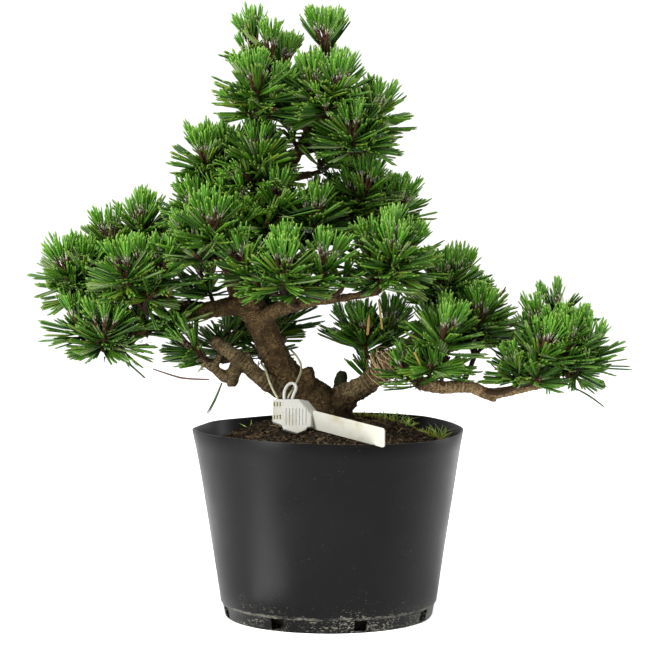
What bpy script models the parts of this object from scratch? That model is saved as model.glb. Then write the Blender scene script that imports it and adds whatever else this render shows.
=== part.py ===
"""A kotobuki japanese black pine, grown as a bonsai in a black nursery pot.

Metres, +Z up. The origin is the middle of the pot's flat underside, +X is to the right and -Y is
the side that the tree is seen from. Sizes are noted in millimetres, and MM turns them into metres.
"""

import math
import random

import bmesh
import bpy
import numpy as np
from mathutils import Matrix, Vector

MM = 0.001
GAP = 0.35  # between neighbouring pieces, in mm
UP = Vector((0.0, 0.0, 1.0))

# The pot: a 150 mm nursery pot of thin black plastic.
POT_RIM_RADIUS = 75.0
POT_FOOT_RADIUS = 58.2
POT_UNDERSIDE_RADIUS = 55.6
POT_HEIGHT = 103.0
POT_WALL = 1.4
POT_FLOOR = 2.0
POT_BAND_HEIGHT = 7.5  # the foot band that the drain slots are cut in
POT_BAND_STEP = 0.8
POT_SIDES = 40
RIM_WAVES = ((1, -2.0, 1.6), (2, -0.7, 1.5))  # the rim's ups and downs: turns, cosine and sine
RIM_PINCH = 1.6  # how far the rim's left and right are pulled out to soft corners
RIM_SOFT_FROM = 0.45  # the share of the pot's height where its wall starts to go out of round
SLOT_COUNT = 8
SLOT_FIRST_DEG = 17.0
SLOT_WIDTH = 7.5
SLOT_BOTTOM = 0.9
SLOT_TOP = 7.0
SLOT_DEPTH = 16.0

# The soil: level near the wall, with a low mound under the trunk.
SOIL_EDGE_Z = 94.0
SOIL_SHOULDER_Z = 99.0
GROUND_Z = 108.0
SOIL_FLAT_RADIUS = 33.0
SOIL_SHOULDER_RADIUS = 58.0
SOIL_SIDES = 32

# Routes are points of x, y, z and radius, joined by a smooth curve.
TRUNK_ROUTE = (
    (0, 10, 98, 19), (-3, 10, 111, 16), (-9.5, 10, 120, 12), (-18, 8, 128, 9.2), (-28, 5, 141, 8.6),
    (-36, 2, 159, 8.2), (-44, 0, 174, 7.7), (-51, 2, 184, 6.6), (-53, 4, 196, 5.5), (-46, 7, 212, 4.7),
    (-33, 8, 233, 4.0), (-19, 5, 255, 3.3), (-9, 1, 277, 2.5), (-6, 0, 302, 1.6),
)
SHOULDER_ROUTE = ((-9, 9, 111, 11), (2, 7, 116.5, 10.2), (12, 4, 122.5, 8.6))
STUB_ROUTES = (
    ((-10, 6, 122, 4.6), (-10.5, 4, 131, 3.8), (-12, 2, 138, 3.3)),
    ((6, 8, 119, 4.2), (7, 9, 128, 3.4), (8.5, 9, 135, 3.0)),
)
BUTTRESS_COUNT = 5
BUTTRESS_FIRST_DEG = 200.0
BUTTRESS_REACH = 21.0
# Where a root flare leaves the trunk: how far from its middle, how far over the soil, and its radius.
BUTTRESS_TOP = (6.0, 9.0, 5.0)
BUTTRESS_END_RADIUS = 3.4

# Each limb: its name, the limb it grows from, its route, and how many sides its tube has.
LIMBS = (
    ("bough_low_left", "trunk", ((-20, 6, 121, 6.5), (-36, -2, 130, 5.4), (-50, -7, 144, 4.6),
                                 (-62, -8, 153, 3.7)), 8),
    ("bough_left", "trunk", ((-46, 1, 174, 7.2), (-60, -2, 172, 5.4), (-82, -9, 168.5, 4.6),
                             (-101, -14, 161, 3.2), (-111, -16, 152, 2.0)), 8),
    ("bough_front", "trunk", ((-38, 1, 163, 5.4), (-31, -10, 170, 4.5), (-12, -25, 176, 3.4),
                              (8, -34, 179, 2.4), (27, -37, 182, 1.7)), 8),
    ("bough_right", "trunk", ((8, 5.5, 120, 8.4), (20, 0, 127, 7.3), (31, -6, 138, 6.2),
                              (38.5, -10, 146, 5.3)), 8),
    ("branch_right_low", "bough_right", ((37.4, -9.4, 144.9, 4.6), (44, -14, 141, 4.6), (50, -17, 132, 4.2),
                                         (62, -18, 128.5, 3.9), (80, -14, 129, 3.6), (95, -12, 125, 3.2),
                                         (112, -12, 129, 2.6), (123, -11, 130.5, 2.0), (130, -11, 130.5, 1.6)), 6),
    ("branch_right_up", "bough_right", ((34, -8, 141.5, 3.6), (45, 0, 152, 3.2), (58, 9, 162, 2.5),
                                        (63, 12, 165, 1.8)), 6),
    ("branch_right_back", "bough_right", ((25, -2.5, 132, 3.6), (34, 10, 139, 3.2), (54, 27, 143, 2.4),
                                          (74, 38, 147, 1.7)), 6),
    ("branch_left_up", "bough_left", ((-80, -8.4, 168.8, 3.6), (-91, -3, 178, 3.0), (-107, 1, 187, 2.3),
                                      (-124, 1, 188, 1.6)), 6),
    ("branch_left_back", "bough_left", ((-66, -4, 171.2, 3.6), (-76, 10, 173, 3.0), (-92, 24, 173, 2.3),
                                        (-104, 30, 175, 1.6)), 6),
    ("bough_mid_left", "trunk", ((-53, 4, 193, 4.2), (-60, -6, 198, 3.4), (-64, -18, 202, 2.5),
                                 (-65, -26, 206, 1.7)), 6),
    ("bough_upper_left", "trunk", ((-38, 7.5, 225, 3.9), (-50, 0, 234, 3.0), (-58, -5, 238, 2.2),
                                   (-62, -7, 241, 1.6)), 6),
    ("bough_upper_right", "trunk", ((-43, 7.3, 216, 4.2), (-28, 20, 221, 3.4), (-4, 22, 219, 2.8),
                                    (14, 18, 219, 2.2), (24, 15, 220.5, 1.6)), 6),
    ("bough_top_left", "trunk", ((-21, 5.5, 252, 3.3), (-29, -5, 263, 2.6), (-36, -14, 275, 2.1),
                                 (-38, -13, 292, 1.6)), 6),
    ("bough_top_right", "trunk", ((-16, 4, 260, 3.2), (-4, -1, 262, 2.8), (9, -7, 264, 2.2),
                                  (17, -11, 267, 1.6)), 6),
    ("bough_back_low", "trunk", ((-31, 4, 146, 5.0), (-30, 22, 150, 3.8), (-26, 38, 152, 2.6)), 6),
    ("bough_back_mid", "trunk", ((-52, 3, 190, 4.4), (-52, 20, 193, 3.4), (-51, 38, 196, 2.6),
                                 (-48, 52, 199, 1.8)), 6),
    ("bough_back_upper", "trunk", ((-27, 7, 242, 3.6), (-20, 22, 245, 2.8), (-10, 36, 247, 2.0)), 6),
)

# Each mass of needles: its name, its limb and how far along that its stem starts, the middle of its
# tufts' feet, half its width and half its depth there, how much its middle is domed, how many tufts it
# has, and how far their ring is turned.
MASSES = (
    ("top_peak", "trunk", 1.0, (-5, 0, 311), (4, 7), 0, 2, 80),
    ("top_west", "bough_top_left", 1.0, (-34, -8, 309), (9, 8), 0, 3, 30),
    ("top_left", "bough_top_left", 0.5, (-38, -25, 285), (9, 8), 0, 3, 150),
    ("top_mid", "trunk", 0.9, (-2, -24, 289), (10, 8), 0, 3, 200),
    ("top_right", "bough_top_right", 1.0, (14, -15, 270), (11, 11), 4, 4, 10),
    ("top_back", "trunk", 0.86, (-14, 27, 288), (14, 9), 0, 3, 90),
    ("crown_back", "bough_back_upper", 1.0, (8, 44, 260), (16, 11), 0, 3, 30),
    ("crown_back_left", "bough_back_upper", 0.5, (-44, 36, 258), (13, 12), 0, 3, 100),
    ("shoulder_left", "bough_upper_left", 1.0, (-64, -8, 250), (9, 10), 0, 3, 0),
    ("shoulder_mid", "trunk", 0.68, (-36, -23, 249), (8, 6), 0, 2, 160),
    ("shoulder_right", "bough_upper_right", 0.72, (13, 4, 232), (9, 8), 0, 3, 80),
    ("heart_right", "trunk", 0.56, (-11, -16, 221), (11, 9), 0, 3, 40),
    ("east_tip", "bough_upper_right", 1.0, (31, 10, 229), (5, 9), 0, 3, 90),
    ("west_high", "bough_mid_left", 0.5, (-68, -19, 220), (9, 9), 0, 3, 210),
    ("west_crown", "bough_mid_left", 1.0, (-63, -39, 204), (10, 8), 0, 3, 270),
    ("west_inner", "trunk", 0.515, (-36, -28, 222), (8, 8), 0, 2, 0),
    ("front", "bough_front", 0.42, (-24, -50, 187), (19, 11), 4, 5, 0),
    ("east", "bough_front", 1.0, (33, -34, 194), (11, 10), 4, 4, 30),
    ("far_left_tip", "branch_left_up", 1.0, (-137, -4, 187), (6, 11), 0, 3, 90),
    ("left_crest", "branch_left_up", 0.6, (-103, 5, 210), (9, 9), 0, 3, 0),
    ("left_mid", "bough_left", 0.62, (-103, -34, 182), (11, 10), 3, 4, 0),
    ("left_low", "bough_left", 1.0, (-121, -24, 155), (11, 11), 3, 4, 60),
    ("low_left", "bough_low_left", 0.75, (-62, -15, 138), (10, 9), 0, 3, 0),
    ("left_back", "branch_left_back", 1.0, (-112, 36, 184), (15, 11), 3, 4, 20),
    ("right_upper", "branch_right_up", 1.0, (67, 14, 180), (10, 9), 0, 3, 0),
    ("right_front", "branch_right_low", 0.13, (54, -33, 151), (9, 7), 0, 3, 90),
    ("right_mid", "branch_right_low", 0.42, (92, -2, 158), (9, 9), 0, 3, 60),
    ("right_low", "branch_right_low", 0.55, (98, -27, 138), (10, 7), 0, 2, 10),
    ("right_crest", "branch_right_low", 0.78, (123, 0, 160), (8, 9), 0, 3, 90),
    ("right_tip", "branch_right_low", 1.0, (137, -12, 141), (9, 9), 2, 4, 0),
    ("under_right", "branch_right_back", 0.3, (20, 18, 148), (11, 9), 0, 3, 0),
    ("right_back", "branch_right_back", 1.0, (85, 46, 158), (15, 10), 3, 4, 15),
    ("right_far_back", "branch_right_low", 0.66, (117, 29, 150), (11, 9), 0, 3, 0),
    ("back_low", "bough_back_low", 1.0, (-24, 48, 163), (16, 9), 3, 4, 0),
    ("back_left", "bough_back_mid", 0.5, (-84, 42, 216), (12, 11), 0, 3, 0),
    ("back_mid", "bough_back_mid", 1.0, (-40, 62, 206), (17, 10), 4, 4, 0),
    ("back_high", "bough_upper_right", 0.5, (22, 50, 217), (15, 11), 4, 4, 40),
)

# A tuft: a slim bead of bark and sheaths, whose facets are each drawn out to a spray of needles.
CORE_SIDES = 5
CORE_LENGTH = 17.0
CORE_RINGS = ((2.4, 2.2), (2.7, 8.5), (1.8, 14.5))  # radius and height up the core
OLD_NEEDLE = 27.0
NEW_NEEDLE = 15.0
# For each ring of facets: its height up to here, its angle off the tuft's axis, and its needles' length.
SPRAY_RINGS = (
    (1.9, 99.0, 0.94 * OLD_NEEDLE),
    (7.0, 76.0, OLD_NEEDLE),
    (13.0, 47.0, 0.72 * OLD_NEEDLE),
    (99.0, 17.0, NEW_NEEDLE),
)
SPRAY_RADIUS = 0.9
SPRAY_JITTER_DEG = 6.0
SPRAY_SIZES = (0.9, 1.08)
TUFT_LEAN_DEG = 15.0
TUFT_LEAN_JITTER_DEG = 4.0
TUFT_SHIFT = 1.5  # the most that a tuft is moved sideways by chance
TUFT_LIFT = 2.5  # and up or down

# A stem and the twigs that branch from its end.
HUB_DROP = 12.0  # how far below its tufts' feet a stem ends
HUB_BACK = 0.18  # and which share of the way back to its limb
STEM_SAG = 0.08  # of its length
STEM_RADIUS = 1.7
TWIG_RADIUS = 1.15
TWIG_ROOT = 1.2  # how far a twig starts inside its stem
TWIG_SINK = 3.5  # and how far it runs up inside its tuft
SHORTENED = (1.0, 0.78, 0.58)  # a spray that doesn't fit is tried shorter, and then left out
NEIGHBOUR_REACH = 90.0  # tufts further apart than this never meet

# The tag: a ribbed clip with a blank strip, on a coated wire that is hooked round the trunk.
TAG_OUTLINE = (
    (-15.6, 9.0), (-1.2, 9.6), (5.8, 2.8), (5.2, -4.4), (1.4, -5.6), (-3.0, -8.4), (-9.4, -6.6),
    (-10.8, -3.4), (-15.2, -2.6),
)
TAG_THICKNESS = 2.4
CLIP_AT = (-13.4, -36.0, 114.3)
CLIP_LEAN_DEG = 20.0
EYELET_AT = (-7.0, 14.0)  # on the clip's own plane
EYELET_RADIUS = 4.0
EYELET_WIRE = 0.85
EYELET_POINTS = 12
STRIP_LENGTH = 41.0
STRIP_WIDTH = 9.4
STRIP_THICKNESS = 0.8
STRIP_FROM = (-6.2, -36.8, 113.4)
STRIP_TO = (29.5, -66.6, 107.4)
WIRE_RADIUS = 0.6
WIRE_ROUTE = (
    (-20.3, -31.5, 125.0), (-25, -25, 129.5), (-31, -14, 136.5), (-37.8, -3, 140.6), (-38.6, 8, 142.5),
    (-32, 15.5, 143), (-23, 16, 145), (-17.5, 9, 147), (-15.5, -2, 147), (-15.2, -13, 142),
    (-17, -24, 133),
)


def clear_scene():
    for thing in list(bpy.data.objects):
        bpy.data.objects.remove(thing, do_unlink=True)


def new_collection(name):
    collection = bpy.data.collections.new(name)
    bpy.context.scene.collection.children.link(collection)
    return collection


def new_material(name, colour, roughness):
    material = bpy.data.materials.new(name)
    material.use_nodes = True
    shader = material.node_tree.nodes["Principled BSDF"]
    shader.inputs["Base Color"].default_value = (*colour, 1.0)
    shader.inputs["Roughness"].default_value = roughness
    shader.inputs["Metallic"].default_value = 0.0
    return material


def make_materials():
    return {
        "pot": new_material("black_pot_plastic", (0.018, 0.019, 0.021), 0.42),
        "soil": new_material("potting_soil", (0.06, 0.032, 0.018), 0.95),
        "bark": new_material("pine_bark", (0.12, 0.075, 0.045), 0.9),
        "needles": new_material("pine_needles", (0.045, 0.15, 0.022), 0.55),
        "tag": new_material("tag_plastic", (0.72, 0.72, 0.68), 0.45),
        "wire": new_material("coated_wire", (0.5, 0.48, 0.33), 0.5),
    }


def smooth_route(points, steps):
    """A Catmull-Rom curve through the points, with all of their numbers blended alike."""
    points = [np.array(point, dtype=float) for point in points]
    route = []
    for index in range(len(points) - 1):
        before = points[max(index - 1, 0)]
        start, end = points[index], points[index + 1]
        after = points[min(index + 2, len(points) - 1)]
        for step in range(steps):
            t = step / steps
            bend = 2 * before - 5 * start + 4 * end - after
            twist = 3 * start - before - 3 * end + after
            route.append(start + 0.5 * (t * (end - before) + t * t * bend + t**3 * twist))
    route.append(points[-1])
    return route


def link_mesh(name, mesh, collection, material=None, smooth_deg=None):
    if material is not None:
        mesh.materials.clear()
        mesh.materials.append(material)
    if smooth_deg is not None:
        mesh.shade_smooth()
        mesh.set_sharp_from_angle(angle=math.radians(smooth_deg))
    thing = bpy.data.objects.new(name, mesh)
    collection.objects.link(thing)
    return thing


def evaluated_mesh(thing, merge=False):
    """The object's mesh with its modifiers applied, in world space, with touching points merged if asked."""
    depsgraph = bpy.context.evaluated_depsgraph_get()
    mesh = bpy.data.meshes.new_from_object(thing.evaluated_get(depsgraph))
    mesh.transform(thing.matrix_world)
    if merge:
        shape = bmesh.new()
        shape.from_mesh(mesh)
        bmesh.ops.remove_doubles(shape, verts=shape.verts, dist=1e-6)
        shape.to_mesh(mesh)
        shape.free()
    return mesh


def remove(thing):
    bpy.data.objects.remove(thing, do_unlink=True)


def tube(name, route, sides, collection, closed=False):
    """A mesh tube through points of x, y, z and radius in mm, made as a bevelled curve."""
    curve = bpy.data.curves.new(name, "CURVE")
    curve.dimensions = "3D"
    curve.bevel_depth = MM
    curve.bevel_resolution = sides // 2 - 2
    curve.use_fill_caps = True
    spline = curve.splines.new("POLY")
    spline.points.add(len(route) - 1)
    spline.use_cyclic_u = closed
    for point, (x, y, z, radius) in zip(spline.points, route):
        point.co = (x * MM, y * MM, z * MM, 1.0)
        point.radius = radius
    guide = bpy.data.objects.new(name + "_guide", curve)
    collection.objects.link(guide)
    mesh = evaluated_mesh(guide, merge=True)
    remove(guide)
    return link_mesh(name, mesh, collection)


def add_boolean(thing, operation, operand):
    """A Boolean modifier with one object, or with all of a collection."""
    modifier = thing.modifiers.new(operation.lower(), "BOOLEAN")
    modifier.operation = operation
    modifier.solver = "MANIFOLD"
    if isinstance(operand, bpy.types.Collection):
        modifier.operand_type = "COLLECTION"
        modifier.collection = operand
    else:
        modifier.object = operand


def apply_modifiers(thing):
    mesh = evaluated_mesh(thing)
    thing.modifiers.clear()
    old = thing.data
    thing.data = mesh
    bpy.data.meshes.remove(old)


def join_and_cut(thing, pieces, cutters=()):
    """Joins a collection to the object by one union, cuts it, and removes the collection's objects."""
    add_boolean(thing, "UNION", pieces)
    for cutter in cutters:
        add_boolean(thing, "DIFFERENCE", cutter)
    apply_modifiers(thing)
    for piece in list(pieces.objects):
        remove(piece)
    bpy.data.collections.remove(pieces)


def shells_of(shape):
    """A bmesh's faces, grouped into shells that hang together over their edges, largest first."""
    left = set(shape.faces)
    shells = []
    while left:
        shell = [left.pop()]
        for face in shell:
            near = {other for edge in face.edges for other in edge.link_faces} & left
            left -= near
            shell.extend(near)
        shells.append(shell)
    return sorted(shells, key=len, reverse=True)


def keep_largest_shell(thing):
    """Drops sealed hollows and loose scraps, which leaves the one outer body."""
    shape = bmesh.new()
    shape.from_mesh(thing.data)
    scraps = [face for shell in shells_of(shape)[1:] for face in shell]
    bmesh.ops.delete(shape, geom=scraps, context="FACES")
    shape.to_mesh(thing.data)
    shape.free()


def pot_profile():
    """The pot's section from the middle of its underside, up the outer wall and down the inner one."""
    slope = (POT_RIM_RADIUS - POT_FOOT_RADIUS) / POT_HEIGHT
    band_radius = POT_FOOT_RADIUS + slope * POT_BAND_HEIGHT
    outer = [
        (0.0, 0.0),
        (POT_UNDERSIDE_RADIUS, 0.0),
        (POT_FOOT_RADIUS - 0.9, 1.2),
        (band_radius - POT_BAND_STEP, POT_BAND_HEIGHT),
        (band_radius, POT_BAND_HEIGHT + 0.8),
        (POT_RIM_RADIUS, POT_HEIGHT),
    ]
    inner = [
        (POT_RIM_RADIUS - POT_WALL, POT_HEIGHT),
        (band_radius - POT_BAND_STEP - POT_WALL, POT_BAND_HEIGHT + 0.8),
        (POT_FOOT_RADIUS - 4.2, POT_FLOOR),
        (0.0, POT_FLOOR),
    ]
    return outer + inner


def turned(name, profile, sides, collection):
    """A solid of revolution: the profile's points of radius and height, with a Screw modifier."""
    mesh = bpy.data.meshes.new(name)
    points = [(radius * MM, 0.0, z * MM) for radius, z in reversed(profile)]
    mesh.from_pydata(points, [(i, i + 1) for i in range(len(points) - 1)], [])
    thing = link_mesh(name, mesh, collection)
    screw = thing.modifiers.new("turn", "SCREW")
    screw.steps = screw.render_steps = sides
    screw.use_merge_vertices = True
    screw.merge_threshold = 0.00001
    solid = evaluated_mesh(thing, merge=True)
    shape = bmesh.new()
    shape.from_mesh(solid)
    bmesh.ops.recalc_face_normals(shape, faces=shape.faces)
    shape.to_mesh(solid)
    shape.free()
    remove(thing)
    return link_mesh(name, solid, collection)


def rim_shift(x, y, z):
    """How far a point of the pot moves, in mm, as its soft rim is pulled out of round and tilted."""
    share = max(0.0, (z / POT_HEIGHT - RIM_SOFT_FROM) / (1.0 - RIM_SOFT_FROM)) ** 2
    angle = math.atan2(y, x)
    reach = math.hypot(x, y) / POT_RIM_RADIUS
    pull = share * reach * RIM_PINCH * (math.cos(2 * angle) ** 5 - 0.15)
    lift = share * sum(c * math.cos(n * angle) + s * math.sin(n * angle) for n, c, s in RIM_WAVES)
    return pull * math.cos(angle), pull * math.sin(angle), lift


def make_pot(parts, cutters, material):
    pot = turned("nursery_pot", pot_profile(), POT_SIDES, parts)
    for vertex in pot.data.vertices:
        shift = rim_shift(*(c / MM for c in vertex.co))
        vertex.co += Vector(shift) * MM
    height = SLOT_TOP - SLOT_BOTTOM
    for index in range(SLOT_COUNT):
        angle = math.radians(SLOT_FIRST_DEG - 90.0 + index * 360.0 / SLOT_COUNT)
        middle = Vector((math.cos(angle), math.sin(angle), 0.0)) * POT_FOOT_RADIUS
        middle.z = SLOT_BOTTOM + height / 2
        shape = bmesh.new()
        place = Matrix.Translation(middle * MM) @ Matrix.Rotation(angle, 4, "Z")
        size = Matrix.Diagonal((SLOT_DEPTH * MM, SLOT_WIDTH * MM, height * MM, 1.0))
        bmesh.ops.create_cube(shape, size=1.0, matrix=place @ size)
        mesh = bpy.data.meshes.new("slot")
        shape.to_mesh(mesh)
        shape.free()
        link_mesh("slot", mesh, cutters)
    add_boolean(pot, "DIFFERENCE", cutters)
    apply_modifiers(pot)
    for cutter in list(cutters.objects):
        remove(cutter)
    pot.data.materials.clear()
    pot.data.materials.append(material)
    pot.data.shade_smooth()
    pot.data.set_sharp_from_angle(angle=math.radians(30.0))
    return pot


def make_soil(parts, material):
    """The root ball fills the pot to a little under its rim, and stands clear of the pot by GAP."""
    slope = (POT_RIM_RADIUS - POT_FOOT_RADIUS) / POT_HEIGHT
    inner = POT_FOOT_RADIUS - POT_BAND_STEP - POT_WALL - 1.3
    profile = [
        (0.0, POT_FLOOR + GAP),
        (POT_FOOT_RADIUS - 5.4, POT_FLOOR + GAP),
        (inner + slope * 10.0, 10.0),
        (inner + slope * SOIL_EDGE_Z, SOIL_EDGE_Z),
        (SOIL_SHOULDER_RADIUS, SOIL_SHOULDER_Z),
        (0.5 * (SOIL_SHOULDER_RADIUS + SOIL_FLAT_RADIUS), 0.45 * SOIL_SHOULDER_Z + 0.55 * GROUND_Z),
        (SOIL_FLAT_RADIUS, GROUND_Z),
        (0.0, GROUND_Z),
    ]
    soil = turned("soil", profile, SOIL_SIDES, parts)
    soil.data.materials.append(material)
    soil.data.shade_smooth()
    soil.data.set_sharp_from_angle(angle=math.radians(35.0))
    return soil


def trunk_routes():
    """The trunk's tubes, each a route and its number of sides: stem, right shoulder, stubs, roots."""
    routes = [(smooth_route(TRUNK_ROUTE, 1), 10), (smooth_route(SHOULDER_ROUTE, 1), 8)]
    routes += [(smooth_route(stub, 1), 6) for stub in STUB_ROUTES]
    foot = np.array(TRUNK_ROUTE[1][:2])
    for index in range(BUTTRESS_COUNT):
        angle = math.radians(BUTTRESS_FIRST_DEG + index * 360.0 / BUTTRESS_COUNT)
        way = np.array((math.cos(angle), math.sin(angle)))
        distance, height, radius = BUTTRESS_TOP
        inner = (*(foot + distance * way), GROUND_Z + height, radius)
        outer = (*(foot + BUTTRESS_REACH * way), GROUND_Z - 2.0, BUTTRESS_END_RADIUS)
        routes.append(([inner, outer], 6))
    return routes


def make_trunk(parts, material):
    routes = trunk_routes()
    trunk = tube("trunk", *routes[0], parts)
    pieces = new_collection("trunk_pieces")
    for route, sides in routes[1:]:
        tube("trunk_piece", route, sides, pieces)
    join_and_cut(trunk, pieces)
    ground = (0.0, 0.0, (GROUND_Z + GAP) * MM)
    shape = bmesh.new()
    shape.from_mesh(trunk.data)
    everything = shape.verts[:] + shape.edges[:] + shape.faces[:]
    cut = bmesh.ops.bisect_plane(
        shape, geom=everything, plane_co=ground, plane_no=(0, 0, 1), clear_inner=True, dist=1e-7
    )
    edges = [piece for piece in cut["geom_cut"] if isinstance(piece, bmesh.types.BMEdge)]
    bmesh.ops.contextual_create(shape, geom=edges)
    bmesh.ops.recalc_face_normals(shape, faces=shape.faces)
    shape.to_mesh(trunk.data)
    shape.free()
    keep_largest_shell(trunk)
    finish_wood(trunk, material)
    return trunk


def finish_wood(thing, material):
    thing.data.materials.clear()
    thing.data.materials.append(material)
    thing.data.shade_smooth()
    thing.data.set_sharp_from_angle(angle=math.radians(50.0))


def clearance(name, route, sides, cutters):
    """A cutter of the limb's own shape that is GAP larger all round and at both ends."""
    route = [np.array(point, dtype=float) for point in route]
    for end, before in ((0, 1), (-1, -2)):
        way = route[end][:3] - route[before][:3]
        route[end][:3] += way / np.linalg.norm(way) * GAP
    swollen = [(*point[:3], point[3] + GAP) for point in route]
    cutter = tube(name + "_clearance", swollen, sides, cutters)
    cutter.hide_render = True
    cutter.display_type = "WIRE"
    return cutter


def boxes_meet(one, other):
    """Whether two objects' bounding boxes overlap."""
    corners = [np.array([v.co for v in thing.data.vertices]) for thing in (one, other)]
    low = [c.min(axis=0) for c in corners]
    high = [c.max(axis=0) for c in corners]
    return bool((low[0] < high[1]).all() and (low[1] < high[0]).all())


def make_limbs(parts, cutters, material):
    """Each limb starts inside the limb it grows from, and is cut clear of every limb before it."""
    clearances = {"trunk": []}
    for index, (route, sides) in enumerate(trunk_routes()):
        clearances["trunk"].append(clearance(f"trunk_{index}", route, sides, cutters))
    for name, _, stations, sides in LIMBS:
        route = smooth_route(stations, 2)
        limb = tube(name, route, sides, parts)
        for earlier in clearances.values():
            for cutter in earlier:
                if boxes_meet(limb, cutter):
                    add_boolean(limb, "DIFFERENCE", cutter)
        apply_modifiers(limb)
        keep_largest_shell(limb)
        finish_wood(limb, material)
        clearances[name] = [clearance(name, route, sides, cutters)]
    return clearances


class Segments:
    """A growing set of round bars, each with two ends, a radius and an owner."""

    def __init__(self):
        self.starts, self.ends, self.radii, self.owners = [], [], [], []

    def add(self, owner, start, end, radius):
        self.starts.append(tuple(start))
        self.ends.append(tuple(end))
        self.radii.append(radius)
        self.owners.append(owner)

    def add_route(self, owner, route):
        for one, other in zip(route, route[1:]):
            self.add(owner, one[:3], other[:3], max(one[3], other[3]))

    def frozen(self):
        arrays = (np.array(self.starts), np.array(self.ends), np.array(self.radii))
        return *arrays, np.array(self.owners)


def distances(start, end, starts, ends):
    """The least distance from one straight segment to each of many, all in mm."""
    way, ways = end - start, ends - starts
    offset = start - starts
    a = way @ way
    e = np.einsum("ij,ij->i", ways, ways)
    f = np.einsum("ij,ij->i", ways, offset)
    c = offset @ way
    b = ways @ way
    spread = a * e - b * b
    safe = np.where(spread > 1e-9, spread, 1.0)
    s = np.where(spread > 1e-9, np.clip((b * f - c * e) / safe, 0, 1), 0.0)
    t = (b * s + f) / e
    s = np.where(t < 0, np.clip(-c / a, 0, 1), np.where(t > 1, np.clip((b - c) / a, 0, 1), s))
    t = np.clip(t, 0, 1)
    return np.linalg.norm(offset + s[:, None] * way - t[:, None] * ways, axis=1)


def is_clear(start, end, radius, owner, bars):
    """Whether a bar keeps GAP from every bar of another owner."""
    starts, ends, radii, owners = bars
    others = owners != owner
    apart = distances(np.array(start), np.array(end), starts[others], ends[others])
    return bool((apart > radii[others] + radius + GAP).all())


class Tuft:
    """One tuft: where its core starts, which way it points, and how it is turned."""

    def __init__(self, mass, foot, axis, turn):
        self.mass, self.foot, self.axis, self.turn = mass, foot, axis, turn
        self.tip = foot + axis * CORE_LENGTH
        self.middle = foot + axis * (0.5 * CORE_LENGTH)
        self.frame = axis.to_track_quat("Z", "Y").to_matrix() @ Matrix.Rotation(turn, 3, "Z")

    def out(self, point):
        """A point of the tuft's own frame, in the part's frame."""
        return self.foot + self.frame @ Vector(point)


def ring_places(count):
    """Where a mass's tufts stand in its ring, as x, y and height shares: one in the middle from four on."""
    if count == 1:
        return [(0.0, 0.0, 0.0)]
    ring = count - 1 if count >= 4 else count
    places = [(math.cos(2 * math.pi * k / ring), math.sin(2 * math.pi * k / ring), 0.0) for k in range(ring)]
    return places + [(0.0, 0.0, 1.0)] * (count - ring)


def plan_tufts(row):
    """The tufts of one mass, spread by the ring rule and a seeded jitter."""
    name, _, _, middle, (half_x, half_y), dome, count, turn_deg = row
    chance = random.Random(name)
    turn = Matrix.Rotation(math.radians(turn_deg), 3, "Z")
    tufts = []
    for x, y, height in ring_places(count):
        way = turn @ Vector((x, y, 0.0))
        lift = dome * height + chance.uniform(-TUFT_LIFT, TUFT_LIFT)
        shift = [chance.uniform(-TUFT_SHIFT, TUFT_SHIFT) for _ in range(2)]
        place = Vector((way.x * half_x + shift[0], way.y * half_y + shift[1], lift))
        jitter = chance.uniform(-TUFT_LEAN_JITTER_DEG, TUFT_LEAN_JITTER_DEG)
        lean = math.radians(TUFT_LEAN_DEG * (1.0 - height) + jitter)
        axis = (UP * math.cos(lean) + way * math.sin(lean)).normalized()
        tufts.append(Tuft(name, Vector(middle) + place, axis, chance.uniform(0, math.pi / 3)))
    return tufts


def along(route, share):
    """The point and radius at a share of a route's length, and the way that the route runs there."""
    points = [np.array(point, dtype=float) for point in route]
    lengths = [np.linalg.norm(b[:3] - a[:3]) for a, b in zip(points, points[1:])]
    left = share * sum(lengths)
    for start, end, length in zip(points, points[1:], lengths):
        if left <= length:
            break
        left -= length
    here = start + (end - start) * min(left / length, 1.0)
    return Vector(here[:3]), float(here[3]), Vector((end - start)[:3]).normalized()


def stem_route(row, tufts, limb_route):
    """From inside the limb to the hub that the mass's twigs branch from, just under its tufts."""
    feet = sum((tuft.foot for tuft in tufts), Vector()) / len(tufts)
    start, limb_radius, way = along(limb_route, row[2])
    target = feet - UP * min(HUB_DROP, max(2.0, 0.6 * (feet.z - start.z)))
    hub = target.lerp(start, HUB_BACK)
    middle = start.lerp(hub, 0.5) - UP * STEM_SAG * (hub - start).length
    radius = min(STEM_RADIUS, 0.9 * limb_radius)
    if row[2] == 1.0:
        start = start - way * 0.8
    stations = [(*start, radius), (*middle, 0.9 * radius), (*hub, 0.8 * radius)]
    return smooth_route(stations, 2)


def twig_ends(tuft, stem):
    """A twig starts inside the stem's end and runs a little way up the tuft's core."""
    hub, before = Vector(stem[-1][:3]), Vector(stem[-2][:3])
    start = hub + (before - hub).normalized() * TWIG_ROOT
    return start, tuft.foot + tuft.axis * TWIG_SINK


def plan_crown(limb_routes):
    """Every mass's tufts and stem, and the bars that sprays have to keep clear of."""
    bars = Segments()
    for name, routes in limb_routes.items():
        for route in routes:
            bars.add_route(name, route)
    bars.add_route("tag_wire", wire_route())
    masses = []
    for row in MASSES:
        tufts = plan_tufts(row)
        stem = stem_route(row, tufts, limb_routes[row[1]][0])
        bars.add_route(row[0], stem)
        for tuft in tufts:
            bars.add(row[0], *twig_ends(tuft, stem), TWIG_RADIUS)
            bars.add(row[0], tuft.foot, tuft.tip, CORE_RINGS[1][0])
        masses.append((row, tufts, stem))
    return masses, bars.frozen()


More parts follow.
